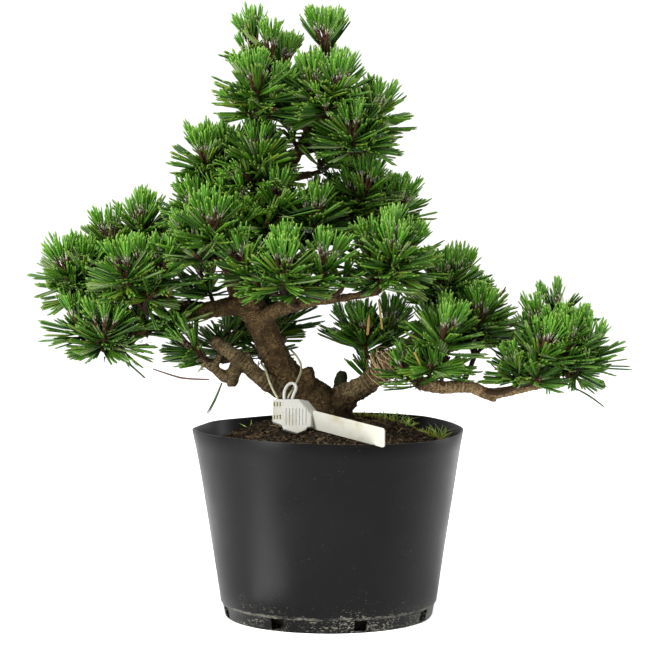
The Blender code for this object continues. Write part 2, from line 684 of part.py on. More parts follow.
def keeps_own_space(point, tuft, tufts):
    """Whether a point is on the tuft's side of the halfway plane to each other tuft."""
    for other in tufts:
        if other is tuft:
            continue
        between = other.middle - tuft.middle
        apart = between.length
        if apart < NEIGHBOUR_REACH and (point - tuft.middle) @ between / apart > 0.5 * apart - SPRAY_RADIUS:
            return False
    return True


def spray_tip(tuft, base, chance):
    """Where a facet's spray of needles ends, from the ring that the facet is in."""
    height = (base - tuft.foot) @ tuft.axis
    off_axis, length = next((angle, size) for top, angle, size in SPRAY_RINGS if height < top)
    side = (base - tuft.foot - tuft.axis * height).normalized()
    swing = math.radians(chance.uniform(-SPRAY_JITTER_DEG, SPRAY_JITTER_DEG))
    side = Matrix.Rotation(1.5 * swing, 3, tuft.axis) @ side
    angle = math.radians(off_axis + chance.uniform(-SPRAY_JITTER_DEG, SPRAY_JITTER_DEG))
    way = tuft.axis * math.cos(angle) + side * math.sin(angle)
    return way, length * chance.uniform(*SPRAY_SIZES)


def facet_place(face):
    """A facet's rounded height and place, so that the facets come in the same order each time."""
    middle = face.calc_center_median()
    return round(middle.z, 2), round(middle.x, 2), round(middle.y, 2)


def tuft_mesh(tuft, tufts, bars):
    """A turned bead whose facets are poked out to sprays, where there is room for them."""
    chance = random.Random(f"{tuft.mass} {tuft.foot.x:.2f} {tuft.foot.y:.2f}")
    shape = bmesh.new()
    profile = [(0.0, 0.0), *CORE_RINGS, (0.0, CORE_LENGTH)]
    points = [shape.verts.new((radius, 0.0, z)) for radius, z in profile]
    edges = [shape.edges.new(pair) for pair in zip(points, points[1:])]
    bmesh.ops.spin(
        shape, geom=points + edges, cent=(0, 0, 0), axis=(0, 0, 1), angle=2 * math.pi, steps=CORE_SIDES
    )
    bmesh.ops.remove_doubles(shape, verts=shape.verts, dist=1e-3)
    bmesh.ops.recalc_face_normals(shape, faces=shape.faces)
    facets = sorted(shape.faces, key=facet_place)
    for vertex in shape.verts:
        vertex.co = tuft.out(vertex.co)
    for face in facets:
        base = face.calc_center_median()
        way, length = spray_tip(tuft, base, chance)
        for share in SHORTENED:
            tip = base + way * (length * share)
            if not keeps_own_space(tip, tuft, tufts):
                continue
            if is_clear(base, tip, SPRAY_RADIUS, tuft.mass, bars):
                poked = bmesh.ops.poke(shape, faces=[face])
                poked["verts"][0].co = tip
                break
    for vertex in shape.verts:
        vertex.co *= MM
    mesh = bpy.data.meshes.new("tuft")
    shape.to_mesh(mesh)
    shape.free()
    return mesh


def twig_mesh(start, end, radius):
    """A straight three-sided twig."""
    way = end - start
    place = Matrix.Translation((start + end) / 2) @ way.to_track_quat("Z", "Y").to_matrix().to_4x4()
    shape = bmesh.new()
    bmesh.ops.create_cone(
        shape, cap_ends=True, segments=3, radius1=radius, radius2=0.8 * radius, depth=way.length, matrix=place
    )
    for vertex in shape.verts:
        vertex.co *= MM
    mesh = bpy.data.meshes.new("twig")
    shape.to_mesh(mesh)
    shape.free()
    return mesh


def make_mass(row, tufts, stem, all_tufts, bars, limb_clearances, parts, material):
    """One node: a stem, its twigs and its tufts, joined by one union and cut clear of its limb."""
    name = row[0]
    mass = tube("needles_" + name, stem, 4, parts)
    pieces = new_collection(name + "_pieces")
    for tuft in tufts:
        link_mesh("twig", twig_mesh(*twig_ends(tuft, stem), TWIG_RADIUS), pieces)
        link_mesh("tuft", tuft_mesh(tuft, all_tufts, bars), pieces)
    join_and_cut(mass, pieces, limb_clearances[row[1]])
    keep_largest_shell(mass)
    mass.data.materials.clear()
    mass.data.materials.append(material)
    return mass


def make_crown(parts, limb_clearances, material):
    limb_routes = {"trunk": [route for route, _ in trunk_routes()]}
    for name, _, stations, _ in LIMBS:
        limb_routes[name] = [smooth_route(stations, 2)]
    masses, bars = plan_crown(limb_routes)
    all_tufts = [tuft for _, tufts, _ in masses for tuft in tufts]
    for row, tufts, stem in masses:
        make_mass(row, tufts, stem, all_tufts, bars, limb_clearances, parts, material)


def plate(name, outline, thickness, place, collection):
    """A flat plate: a closed 2D outline in mm, extruded, then turned and moved by the matrix."""
    curve = bpy.data.curves.new(name, "CURVE")
    curve.dimensions = "2D"
    curve.fill_mode = "BOTH"
    curve.extrude = 0.5 * thickness * MM
    spline = curve.splines.new("POLY")
    spline.points.add(len(outline) - 1)
    spline.use_cyclic_u = True
    for point, (x, y) in zip(spline.points, outline):
        point.co = (x * MM, y * MM, 0.0, 1.0)
    guide = bpy.data.objects.new(name + "_guide", curve)
    guide.matrix_world = place
    collection.objects.link(guide)
    mesh = evaluated_mesh(guide, merge=True)
    remove(guide)
    return link_mesh(name, mesh, collection)


def facing_viewer(lean_deg):
    """Turns a plate that lies flat so that it stands facing -Y, leaning back."""
    return Matrix.Rotation(math.radians(90.0 - lean_deg), 4, "X")


def make_tag(parts, materials):
    place = Matrix.Translation(Vector(CLIP_AT) * MM) @ facing_viewer(CLIP_LEAN_DEG)
    clip = plate("tag_clip", TAG_OUTLINE, TAG_THICKNESS, place, parts)
    ring = [
        (EYELET_AT[0] + EYELET_RADIUS * math.cos(a), EYELET_AT[1] + EYELET_RADIUS * math.sin(a))
        for a in (2 * math.pi * k / EYELET_POINTS for k in range(EYELET_POINTS))
    ]
    eyelet_route = [(*((place @ Vector((x * MM, y * MM, 0.0))) / MM), EYELET_WIRE) for x, y in ring]
    pieces = new_collection("clip_pieces")
    tube("eyelet", eyelet_route, 6, pieces, closed=True)
    join_and_cut(clip, pieces)
    clip.data.materials.append(materials["tag"])

    start, end = Vector(STRIP_FROM), Vector(STRIP_TO)
    along = (end - start).normalized()
    face = Vector((0.0, -math.cos(math.radians(CLIP_LEAN_DEG)), math.sin(math.radians(CLIP_LEAN_DEG))))
    face = (face - along * (face @ along)).normalized()
    across = face.cross(along)
    turn = Matrix((along, across, face)).transposed().to_4x4()
    outline = [(0, -0.5), (0, 0.5), (0.97, 0.5), (1, 0.35), (1, -0.35), (0.97, -0.5)]
    outline = [(x * STRIP_LENGTH, y * STRIP_WIDTH) for x, y in outline]
    place = Matrix.Translation(start * MM) @ turn
    strip = plate("tag_strip", outline, STRIP_THICKNESS, place, parts)
    strip.data.materials.append(materials["tag"])

    wire = tube("tag_wire", wire_route()[:-1], 6, parts, closed=True)
    wire.data.materials.append(materials["wire"])
    wire.data.shade_smooth()


def wire_route():
    """The wire's closed loop: through the clip's eyelet, and round behind the trunk."""
    around = WIRE_ROUTE[-1:] + WIRE_ROUTE + WIRE_ROUTE[:2]
    points = smooth_route(around, 2)[2:-2]
    return [(*point[:3], WIRE_RADIUS) for point in points]


def main():
    clear_scene()
    parts = new_collection("black_pine_bonsai")
    cutters = new_collection("cutters")
    materials = make_materials()
    make_pot(parts, cutters, materials["pot"])
    make_soil(parts, materials["soil"])
    make_trunk(parts, materials["bark"])
    limb_clearances = make_limbs(parts, cutters, materials["bark"])
    make_crown(parts, limb_clearances, materials["needles"])
    make_tag(parts, materials)
    for cutter in list(cutters.objects):
        remove(cutter)
    bpy.data.collections.remove(cutters)


if __name__ == "__main__":
    main()
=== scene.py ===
# %% [markdown]
# # A black pine grown as a bonsai, in its nursery pot
#
# The tree is a dwarf pine with very short needles. It leans left out of a soft black pot, forks low, and
# holds its needles in flat pads of upright tufts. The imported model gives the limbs, the pads and the pot
# as plain solids. This lesson dresses them: bark with relief, over twenty thousand needles, crumbly soil
# and a weathered tag. Sizes are written in millimetres and MM turns them into metres.

import math
import random
from collections import namedtuple

import bmesh
import bpy
import numpy as np
from mathutils import Matrix, Vector


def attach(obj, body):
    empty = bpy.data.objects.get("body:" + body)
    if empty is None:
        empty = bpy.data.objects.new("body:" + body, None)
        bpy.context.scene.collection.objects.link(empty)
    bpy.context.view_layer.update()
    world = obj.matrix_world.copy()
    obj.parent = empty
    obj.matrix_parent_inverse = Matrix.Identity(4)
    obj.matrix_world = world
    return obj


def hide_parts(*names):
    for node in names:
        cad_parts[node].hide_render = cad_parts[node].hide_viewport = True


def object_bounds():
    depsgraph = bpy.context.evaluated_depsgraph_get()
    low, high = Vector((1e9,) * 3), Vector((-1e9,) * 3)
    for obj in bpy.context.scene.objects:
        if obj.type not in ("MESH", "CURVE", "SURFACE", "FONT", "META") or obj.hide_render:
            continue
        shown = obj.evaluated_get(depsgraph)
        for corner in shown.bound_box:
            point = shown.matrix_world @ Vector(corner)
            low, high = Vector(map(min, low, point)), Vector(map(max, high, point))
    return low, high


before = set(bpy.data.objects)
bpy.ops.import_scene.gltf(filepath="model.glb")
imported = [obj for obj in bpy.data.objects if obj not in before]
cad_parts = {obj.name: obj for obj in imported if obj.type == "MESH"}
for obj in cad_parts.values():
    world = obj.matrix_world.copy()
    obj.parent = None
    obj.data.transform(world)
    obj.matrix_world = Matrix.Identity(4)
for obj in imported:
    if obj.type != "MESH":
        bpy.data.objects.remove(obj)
cad_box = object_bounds()
MM = 0.001
UP = Vector((0.0, 0.0, 1.0))
NODES = sorted(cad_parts)
bpy.ops.object.select_all(action="DESELECT")
print(len(NODES), "nodes, box", [round(c / MM) for corner in cad_box for c in corner])

# %% [markdown]
# ## The camera
#
# The photo was taken from a little over a metre away, from just above the middle of the tree. One of its
# pixels measures 0.5575 mm at the trunk, and its horizon lies near pixel row 216. From these three facts
# the camera's place, aim and angle of view follow.

# %% Camera
PHOTO_SIDE = 650
HORIZON_ROW = 216.3
PIXEL = 0.5575 * MM
VIEW_DISTANCE = 1155 * MM
EYE = Vector((-2 * MM, -VIEW_DISTANCE, 223 * MM))

bpy.ops.object.camera_add(location=EYE)
camera = bpy.context.object
camera.data.sensor_width = 36.0
camera.data.angle = 2.0 * math.atan(PHOTO_SIDE / 2 * PIXEL / VIEW_DISTANCE)
aim = Vector((EYE.x, 0.0, EYE.z - (PHOTO_SIDE / 2 - HORIZON_ROW) * PIXEL))
camera.rotation_euler = (aim - EYE).to_track_quat("-Z", "Y").to_euler()
bpy.context.scene.camera = camera
print("angle of view", round(math.degrees(camera.data.angle), 2), "degrees")

# %% [markdown]
# ## Floor and light
#
# A catalogue photo has a white ground, soft light from the upper left and a pale reflection down each side
# of the dark pot. A panel behind the right shoulder lights the pot's right edge. The pot's wall leans out
# and mirrors the table, so a dim card lying on the table gives the band on its left. A bright even surround
# fills the shadows between the needles.

# %% Floor and light
def plain_material(name, colour, roughness=0.5, shine=0.3):
    """A material of one colour all over."""
    material = bpy.data.materials.new(name)
    material.use_nodes = True
    shader = material.node_tree.nodes["Principled BSDF"]
    shader.inputs["Base Color"].default_value = (*colour, 1.0)
    shader.inputs["Roughness"].default_value = roughness
    shader.inputs["Specular IOR Level"].default_value = shine
    return material


def plain_set(*rows):
    """Plain materials, from rows of a name, a colour, a roughness and a shine."""
    return [plain_material(*row) for row in rows]


def light_panel(name, place, size, power):
    """A soft rectangular light that faces the middle of the tree."""
    bpy.ops.object.light_add(type="AREA", location=[c * MM for c in place])
    panel = bpy.context.object
    panel.name = name
    panel.data.shape = "RECTANGLE"
    panel.data.size, panel.data.size_y = (side * MM for side in size)
    panel.data.energy = power
    middle = (cad_box[0] + cad_box[1]) / 2
    panel.rotation_euler = (middle - panel.location).to_track_quat("-Z", "Y").to_euler()
    return panel


FLOOR_SIDE = 12.0
bpy.ops.mesh.primitive_plane_add(size=FLOOR_SIDE, location=(0.0, 0.0, 0.0))
floor = bpy.context.object
floor.name = "floor"
floor.data.materials.append(plain_material("white_ground", (0.93, 0.93, 0.93), 0.9))

world = bpy.data.worlds.new("bright_surround")
bpy.context.scene.world = world
world.use_nodes = True
world.node_tree.nodes["Background"].inputs["Color"].default_value = (1.0, 1.0, 1.0, 1.0)
world.node_tree.nodes["Background"].inputs["Strength"].default_value = 1.1
bpy.context.scene.view_settings.view_transform = "Standard"

light_panel("key", (-880, -680, 620), (420, 1100), 34.0)
light_panel("top", (80, -420, 1500), (900, 900), 42.0)
light_panel("right_strip", (880, 330, 560), (220, 1000), 9.0)
card = light_panel("table_card", (-196, -128, 5), (300, 48), 0.52)
card.rotation_euler = (math.pi, 0.0, math.radians(23.5))     # it lies flat and shines upwards
card.visible_diffuse = False
card.visible_camera = False

# %% [markdown]
# ## Small helpers
#
# An operator works on whatever is selected, so every step starts by deselecting everything and picking
# one object. A finished piece has its modifiers and its place applied, and then rides on the one body of
# the tree and stands in for the plain solid that it replaces.

# %% Helpers for modelling by hand
def about(chance, most):
    """A random number from minus most to most."""
    return chance.uniform(-most, most)


def pick(*things):
    """Selects only these objects and makes the first of them active."""
    bpy.ops.object.select_all(action="DESELECT")
    for thing in things:
        thing.select_set(True)
    bpy.context.view_layer.objects.active = things[0]


def apply_modifier(thing, kind, **settings):
    """Adds one modifier with these settings and applies it."""
    pick(thing)
    bpy.ops.object.modifier_add(type=kind)
    modifier = thing.modifiers[-1]
    for name, value in settings.items():
        setattr(modifier, name, value)
    bpy.ops.object.modifier_apply(modifier=modifier.name)


def cut_with(thing, cutter):
    """Cuts one closed mesh out of another and removes the cutter."""
    apply_modifier(thing, "BOOLEAN", operation="DIFFERENCE", object=cutter, solver="EXACT")
    bpy.data.objects.remove(cutter, do_unlink=True)


def join(things, name):
    """Joins objects into the first one."""
    pick(*things)
    if len(things) > 1:
        bpy.ops.object.join()
    joined = bpy.context.object
    joined.name = name
    joined.data.name = name
    return joined


def boxes(name, places, size):
    """Boxes of one size, joined. Each place is x, y, z and a turn about the upright."""
    made = []
    for x, y, z, turn in places:
        bpy.ops.object.select_all(action="DESELECT")
        bpy.ops.mesh.primitive_cube_add(size=1.0, location=(x * MM, y * MM, z * MM), rotation=(0, 0, turn))
        bpy.context.object.scale = [side * MM for side in size]
        made.append(bpy.context.object)
    joined = join(made, name)
    bpy.ops.object.transform_apply(location=True, rotation=True, scale=True)
    return joined


def face_out(thing):
    """Turns all faces of a closed mesh outwards."""
    shape = bmesh.new()
    shape.from_mesh(thing.data)
    bmesh.ops.recalc_face_normals(shape, faces=shape.faces)
    if shape.calc_volume(signed=True) < 0:
        bmesh.ops.reverse_faces(shape, faces=shape.faces)
    shape.to_mesh(thing.data)
    shape.free()


def finish_piece(thing, name, materials, replaced=(), smooth_deg=None):
    """Applies the piece's place, gives it its materials, and ties it to the tree's one body."""
    pick(thing)
    bpy.ops.object.transform_apply(location=True, rotation=True, scale=True)
    thing.name = name
    thing.data.name = name
    for material in materials:
        thing.data.materials.append(material)
    if smooth_deg is not None:
        bpy.ops.object.shade_smooth_by_angle(angle=math.radians(smooth_deg))
    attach(thing, "root")
    if replaced:
        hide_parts(*replaced)
    triangles = sum(len(polygon.vertices) - 2 for polygon in thing.data.polygons)
    print(f"{name}: {triangles} triangles")
    return thing


# %% [markdown]
# Needles, crumbs and moss come by the thousand. For those, arrays are quicker than operators: each shape
# is worked out once for all of its copies, and the copies become one mesh.

# %% Helpers for joined small shapes
def unit(rows):
    """Each row as a vector of length one."""
    return rows / np.linalg.norm(rows, axis=1, keepdims=True)


def square_to(ways):
    """For each way, two unit vectors that stand square to it and to each other."""
    helper = np.where(np.abs(ways[:, 2:3]) < 0.9, [[0.0, 0.0, 1.0]], [[1.0, 0.0, 0.0]])
    side = unit(np.cross(ways, helper))
    return side, np.cross(ways, side)


def rolled(ways, rolls):
    """For each way, a unit vector square to it, turned round it by the roll."""
    side, up = square_to(ways)
    return side * np.cos(rolls)[:, None] + up * np.sin(rolls)[:, None]


TRIANGLE = (30.0, 150.0, 270.0)     # sections of a spike, as the angles of their corners
DIAMOND = (0.0, 90.0, 180.0, 270.0)
HEXAGON = (0.0, 60.0, 120.0, 180.0, 240.0, 300.0)


def tube_faces(rings, around):
    """The side faces of a closed tube of rings of points, and the triangles that cap its ends."""
    here = np.arange(around)
    following = (here + 1) % around
    sides = [
        np.stack([low + here, low + following, low + around + following, low + around + here], axis=1)
        for low in range(0, (rings - 1) * around, around)
    ]
    fan = np.arange(1, around - 1)
    top = (rings - 1) * around
    caps = [
        np.stack([np.zeros_like(fan), fan + 1, fan], axis=1),
        np.stack([np.full_like(fan, top), top + fan, top + fan + 1], axis=1),
    ]
    return np.concatenate(sides), np.concatenate(caps)


def spikes(feet, ways, sides, lengths, widths, profile, corners=TRIANGLE, lifts=None, flat=1.0):
    """Points and faces of many closed spikes. The profile lists shares of length and of width.

    sides are unit vectors square to the ways, along which a spike is widest. The corners' angles are
    measured from there, lifts bend a spike more and more towards its tip, and flat thins its section.
    widths is one number, or one for each spike.
    """
    count, rings, around = len(feet), len(profile), len(corners)
    ups = np.cross(ways, sides)
    points = np.zeros((count, rings, around, 3))
    for ring, (share, half) in enumerate(profile):
        centre = feet + ways * (lengths * share)[:, None]
        if lifts is not None:
            centre = centre + lifts * (lengths * share * share)[:, None]
        reach = np.reshape(widths, (-1, 1)) * half / 2
        for corner, angle in enumerate(np.radians(corners)):
            points[:, ring, corner] = centre + reach * (sides * np.cos(angle) + ups * np.sin(angle) * flat)
    quads, caps = tube_faces(rings, around)
    offsets = (np.arange(count) * rings * around)[:, None, None]
    return points.reshape(-1, 3), (quads + offsets).reshape(-1, 4), (caps + offsets).reshape(-1, 3)


class Heap:
    """Gathers many small shapes into the arrays of one mesh. A slot is the number of a material."""

    def __init__(self):
        self.parts, self.used = [], 0

    def add(self, shape, slots=0, tip_slot=None, tip_quads=0):
        """Adds a shape. slots is one number, or one for each copy. The last quads may have their own."""
        points, quads, triangles = shape
        body = np.atleast_1d(slots)
        quad_slots, triangle_slots = (
            np.repeat(body, len(faces) // len(body)).reshape(len(body), -1) for faces in (quads, triangles)
        )
        if tip_slot is not None:
            quad_slots[:, -tip_quads:] = tip_slot
            triangle_slots[:, triangle_slots.shape[1] // 2:] = tip_slot
        faces = quads + self.used, triangles + self.used
        self.parts.append((points, *faces, quad_slots.ravel(), triangle_slots.ravel()))
        self.used += len(points)

    def build(self, name, smooth=True):
        """One mesh object of all that was added."""
        points, quads, triangles, *slots = map(np.concatenate, zip(*self.parts))
        mesh = bpy.data.meshes.new(name)
        corners = np.concatenate([quads.ravel(), triangles.ravel()]).astype(np.int32)
        sizes = np.concatenate([np.full(len(quads), 4), np.full(len(triangles), 3)])
        starts = np.concatenate([[0], np.cumsum(sizes)[:-1]]).astype(np.int32)
        mesh.vertices.add(len(points))
        mesh.vertices.foreach_set("co", (points * MM).astype(np.float32).ravel())
        mesh.loops.add(len(corners))
        mesh.loops.foreach_set("vertex_index", corners)
        mesh.polygons.add(len(sizes))
        mesh.polygons.foreach_set("loop_start", starts)
        mesh.polygons.foreach_set("material_index", np.concatenate(slots).astype(np.int32))
        mesh.polygons.foreach_set("use_smooth", np.full(len(sizes), smooth))
        mesh.update(calc_edges=True)
        mesh.validate()
        thing = bpy.data.objects.new(name, mesh)
        bpy.context.scene.collection.objects.link(thing)
        return thing


# %% [markdown]
# ## Shared finishes
#
# Black plastic, bark, soil and the tag all have fine grain, soft patches and specks of dirt. Each effect is
# made once as a node group, with its scale and strength as inputs, and every material sets its own values.
# All of them read the object's own coordinates, so a pattern stays where it is when the tree is moved.

# %% Shader groups
class Tree:
    """A node tree, with helpers that place its nodes. A value is a plain one or another node's output."""

    def __init__(self, tree):
        self.nodes, self.links = tree.nodes, tree.links

    def feed(self, socket, value):
        if isinstance(value, bpy.types.NodeSocket):
            self.links.new(value, socket)
        else:
            socket.default_value = value

    def node(self, kind, labels=(), values=(), **settings):
        """Places a node with these settings, and feeds its labelled inputs with the values."""
        node = self.nodes.new("ShaderNode" + kind)
        for name, value in settings.items():
            setattr(node, name, value)
        for label, value in zip(labels, values):
            self.feed(node.inputs[label], value)
        return node

    def place(self):
        """The object's own coordinates."""
        return self.node("TexCoord").outputs["Object"]

    def math(self, operation, first, second, clamp=False):
        return self.node("Math", (0, 1), (first, second), operation=operation, use_clamp=clamp).outputs[0]

    def times(self, first, second):
        return self.math("MULTIPLY", first, second)

    def plus(self, first, second, clamp=False):
        return self.math("ADD", first, second, clamp)

    def noise(self, place, scale, detail=4.0, roughness=0.6):
        labels = ("Vector", "Scale", "Detail", "Roughness")
        return self.node("TexNoise", labels, (place, scale, detail, roughness)).outputs["Fac"]

    def band(self, value, low, high):
        """0 below low, 1 above high, and an even slope between them."""
        node = self.node("MapRange", ("Value", "From Min", "From Max"), (value, low, high))
        return node.outputs["Result"]


class Group(Tree):
    """A shader node group. Its inputs are named with their usual values, and all outputs are numbers."""

    def __init__(self, name, inputs, outputs):
        self.tree = bpy.data.node_groups.new(name, "ShaderNodeTree")
        super().__init__(self.tree)
        for label, value in inputs.items():
            socket = self.tree.interface.new_socket(label, in_out="INPUT", socket_type="NodeSocketFloat")
            socket.default_value = value
        for label in outputs:
            self.tree.interface.new_socket(label, in_out="OUTPUT", socket_type="NodeSocketFloat")
        self.start = self.nodes.new("NodeGroupInput").outputs
        self.end = self.nodes.new("NodeGroupOutput").inputs


def make_grain_group():
    """Grain: a broad mottle for the colour and a fine height for the bump."""
    group = Group("grain", {"Broad": 60.0, "Fine": 900.0}, ["Mottle", "Height"])
    place = group.place()
    group.feed(group.end["Mottle"], group.band(group.noise(place, group.start["Broad"]), 0.3, 0.7))
    group.feed(group.end["Height"], group.noise(place, group.start["Fine"], detail=6.0))
    return group.tree


def make_patch_group():
    """Patches: a mask of soft blotches. Low and High set how much they cover and how soft their edge is."""
    inputs = {"Scale": 100.0, "Detail": 4.0, "Roughness": 0.6, "Low": 0.4, "High": 0.6}
    group = Group("patches", inputs, ["Mask"])
    scale, detail, roughness, low, high = (group.start[label] for label in inputs)
    blotches = group.noise(group.place(), scale, detail, roughness)
    group.feed(group.end["Mask"], group.band(blotches, low, high))
    return group.tree


SPECK_FLATNESS = 2.2        # specks are this much wider than tall
SPECK_DRIFT = (45.0, 0.35)  # the scale and the strength of the slow change in their number
SPECK_EDGE = 0.06


def make_speck_group():
    """Specks: a mask of scattered dots and smears that gets denser as Amount goes up."""
    group = Group("specks", {"Scale": 400.0, "Amount": 0.2}, ["Mask"])
    squeeze = (1.0, 1.0, SPECK_FLATNESS)
    flat = group.node("VectorMath", (0, 1), (group.place(), squeeze), operation="MULTIPLY").outputs[0]
    spots = group.noise(flat, group.start["Scale"], detail=3.0, roughness=0.75)
    drift = group.noise(flat, SPECK_DRIFT[0], detail=2.0)
    both = group.plus(spots, group.times(drift, SPECK_DRIFT[1]))
    edge = group.math("SUBTRACT", 1.0, group.times(group.start["Amount"], 0.4))
    group.feed(group.end["Mask"], group.band(both, edge, group.plus(edge, SPECK_EDGE)))
    return group.tree


GRAIN = make_grain_group()
PATCHES = make_patch_group()
SPECKS = make_speck_group()


class Finish(Tree):
    """A Principled material."""

    def __init__(self, name, roughness, shine=0.3):
        self.material = plain_material(name, (0.5, 0.5, 0.5), roughness, shine)
        super().__init__(self.material.node_tree)
        self.shader = self.nodes["Principled BSDF"].inputs

    def group(self, tree, **values):
        """Places a group with its own values, and gives its outputs."""
        return self.node("Group", values.keys(), values.values(), node_tree=tree).outputs

    def height(self):
        """The height over the floor, in metres."""
        return self.node("SeparateXYZ", [0], [self.place()]).outputs["Z"]

    def mix(self, factor, first, second):
        """Mixes two colours by a mask. Each colour is a socket or a plain colour."""
        node = self.node("Mix", ["Factor"], [factor], data_type="RGBA")
        for label, value in (("A", first), ("B", second)):
            socket = next(s for s in node.inputs if s.name == label and s.type == "RGBA")
            self.feed(socket, (*value, 1.0) if isinstance(value, tuple) else value)
        return next(s for s in node.outputs if s.type == "RGBA")

    def colour(self, socket):
        self.feed(self.shader["Base Color"], socket)

    def bump(self, height, strength, distance):
        bump = self.node("Bump", ("Height", "Strength", "Distance"), (height, strength, distance))
        self.feed(self.shader["Normal"], bump.outputs["Normal"])


print("groups:", [group.name for group in bpy.data.node_groups])

# %% [markdown]
# ## The pot
#
# It is a thin nursery pot of soft black plastic. Its rim has lost its round shape and dips and rises, and
# a narrow foot band with eight drain slots runs round its bottom. A circle is drawn up ring by ring with
# extrude and resize, over the rim and down the inside, as one would pull up a pot on a wheel.

# %% Pot sizes and body
RIM_RADIUS, FOOT_RADIUS, UNDERSIDE_RADIUS = 75.0, 59.2, 57.3
POT_HEIGHT, POT_WALL, POT_FLOOR = 103.0, 1.4, 2.0
BAND_HEIGHT, BAND_STEP = 7.5, 0.8           # the foot band, and how far it stands in from the wall
POT_SIDES, WALL_RINGS = 160, 12
SLOT_COUNT, SLOT_FIRST_DEG = 8, 17.0
SLOT_SIZE, SLOT_MIDDLE_Z = (16.0, 7.5, 6.1), 3.95
# Rises and falls of the rim: how many waves go round it, and how high their cosine and sine parts are.
RIM_WAVES = ((0, 1.7, 0.0), (1, -0.2, 1.4), (2, -0.3, 0.9))
RIM_PINCH = 0.3             # how far the rim is pulled out at its two sides
RIM_RIPPLES = ((5, 0.25, 21.0), (9, 0.18, -13.0))   # how many round the rim, their depth, and their slant
RIM_SOFT_FROM = 0.45        # the wall is round up to this share of its height
# Where the rim is pinched to a corner, in degrees, how far it is pulled out and how wide.
RIM_CORNERS = ((181.0, 0.8, 3.5), (147.0, 3.4, 12.0), (43.0, 1.8, 9.0), (3.0, 1.0, 7.0))
WALL_SLOPE = (RIM_RADIUS - FOOT_RADIUS) / POT_HEIGHT


def pot_rings():
    """The pot's section as radii and heights, from its underside over the rim to the inner floor."""
    band_radius = FOOT_RADIUS + WALL_SLOPE * BAND_HEIGHT
    rings = [(UNDERSIDE_RADIUS, 0.0), (FOOT_RADIUS - 1.3, 0.5), (FOOT_RADIUS - 0.9, 1.2)]
    rings += [(band_radius - BAND_STEP, BAND_HEIGHT), (band_radius - 0.1, BAND_HEIGHT + 0.7)]
    bottom = BAND_HEIGHT + 1.2
    for step in range(WALL_RINGS):
        z = bottom + (POT_HEIGHT - 0.6 - bottom) * step / (WALL_RINGS - 1)
        rings.append((FOOT_RADIUS + WALL_SLOPE * z, z))
    rings += [(RIM_RADIUS - 0.35, POT_HEIGHT), (RIM_RADIUS - POT_WALL + 0.35, POT_HEIGHT)]
    for z in (POT_HEIGHT - 0.6, 92.0, 80.0, 60.0, 35.0):
        rings.append((FOOT_RADIUS + WALL_SLOPE * z - POT_WALL, z))
    return rings + [(band_radius - BAND_STEP - POT_WALL, 8.3), (FOOT_RADIUS - 4.2, POT_FLOOR)]


def pull_up(rings):
    """Extrudes the selected face of the mesh in edit mode from ring to ring."""
    for (radius, z), (next_radius, next_z) in zip(rings, rings[1:]):
        bpy.ops.mesh.extrude_region_move(TRANSFORM_OT_translate={"value": (0, 0, (next_z - z) * MM)})
        bpy.ops.transform.resize(value=(next_radius / radius, next_radius / radius, 1.0))


def turned_shape(name, rings, sides):
    """A closed round body, pulled up from a flat circle."""
    radius, z = rings[0]
    bpy.ops.mesh.primitive_circle_add(
        vertices=sides, radius=radius * MM, fill_type="NGON", location=(0, 0, z * MM)
    )
    thing = bpy.context.object
    thing.name = name
    bpy.ops.object.mode_set(mode="EDIT")
    bpy.ops.mesh.select_all(action="SELECT")
    pull_up(rings)
    bpy.ops.object.mode_set(mode="OBJECT")
    pick(thing)
    bpy.ops.object.transform_apply(location=True, rotation=True, scale=True)
    face_out(thing)
    return thing


def soften_rim(point):
    """Moves a point of the pot as the soft rim is pulled out of round and tilted."""
    x, y, z = (c / MM for c in point)
    share = max(0.0, (z / POT_HEIGHT - RIM_SOFT_FROM) / (1.0 - RIM_SOFT_FROM)) ** 2
    angle = math.atan2(y, x)
    reach = math.hypot(x, y) / RIM_RADIUS
    pull = share * reach * RIM_PINCH * (math.cos(2 * angle) ** 5 - 0.15)
    pull += reach * sum(depth * math.sin(n * angle + z / slant) for n, depth, slant in RIM_RIPPLES) * share
    for where, far, wide in RIM_CORNERS:
        away = (math.degrees(angle) - where + 180.0) % 360.0 - 180.0
        pull += share * share * reach * far * math.exp(-((away / wide) ** 2))
    lift = share * sum(c * math.cos(n * angle) + s * math.sin(n * angle) for n, c, s in RIM_WAVES)
    return Vector((x + pull * math.cos(angle), y + pull * math.sin(angle), z + lift)) * MM


pot = turned_shape("pot", pot_rings(), POT_SIDES)
for vertex in pot.data.vertices:
    vertex.co = soften_rim(vertex.co)
print("pot rings", len(pot_rings()), "size", [round(side / MM) for side in pot.dimensions])

# %% [markdown]
# The drain slots are cut with one Boolean. Eight boxes are joined into one cutter first, so the pot is
# cut once and not eight times.

# %% Drain slots
def slot_places():
    """The middle of each slot, and its turn."""
    for index in range(SLOT_COUNT):
        angle = math.radians(SLOT_FIRST_DEG - 90.0 + index * 360.0 / SLOT_COUNT)
        yield FOOT_RADIUS * math.cos(angle), FOOT_RADIUS * math.sin(angle), SLOT_MIDDLE_Z, angle


cut_with(pot, boxes("slot_cutter", slot_places(), SLOT_SIZE))
print("pot with", SLOT_COUNT, "slots:", len(pot.data.polygons), "faces")

# %% [markdown]
# The plastic is a satin black with a slight grey bloom. Lime and mud specks sit on the foot band and thin
# out upwards, so their amount follows the height, and a broken line of lime runs along the band's step.

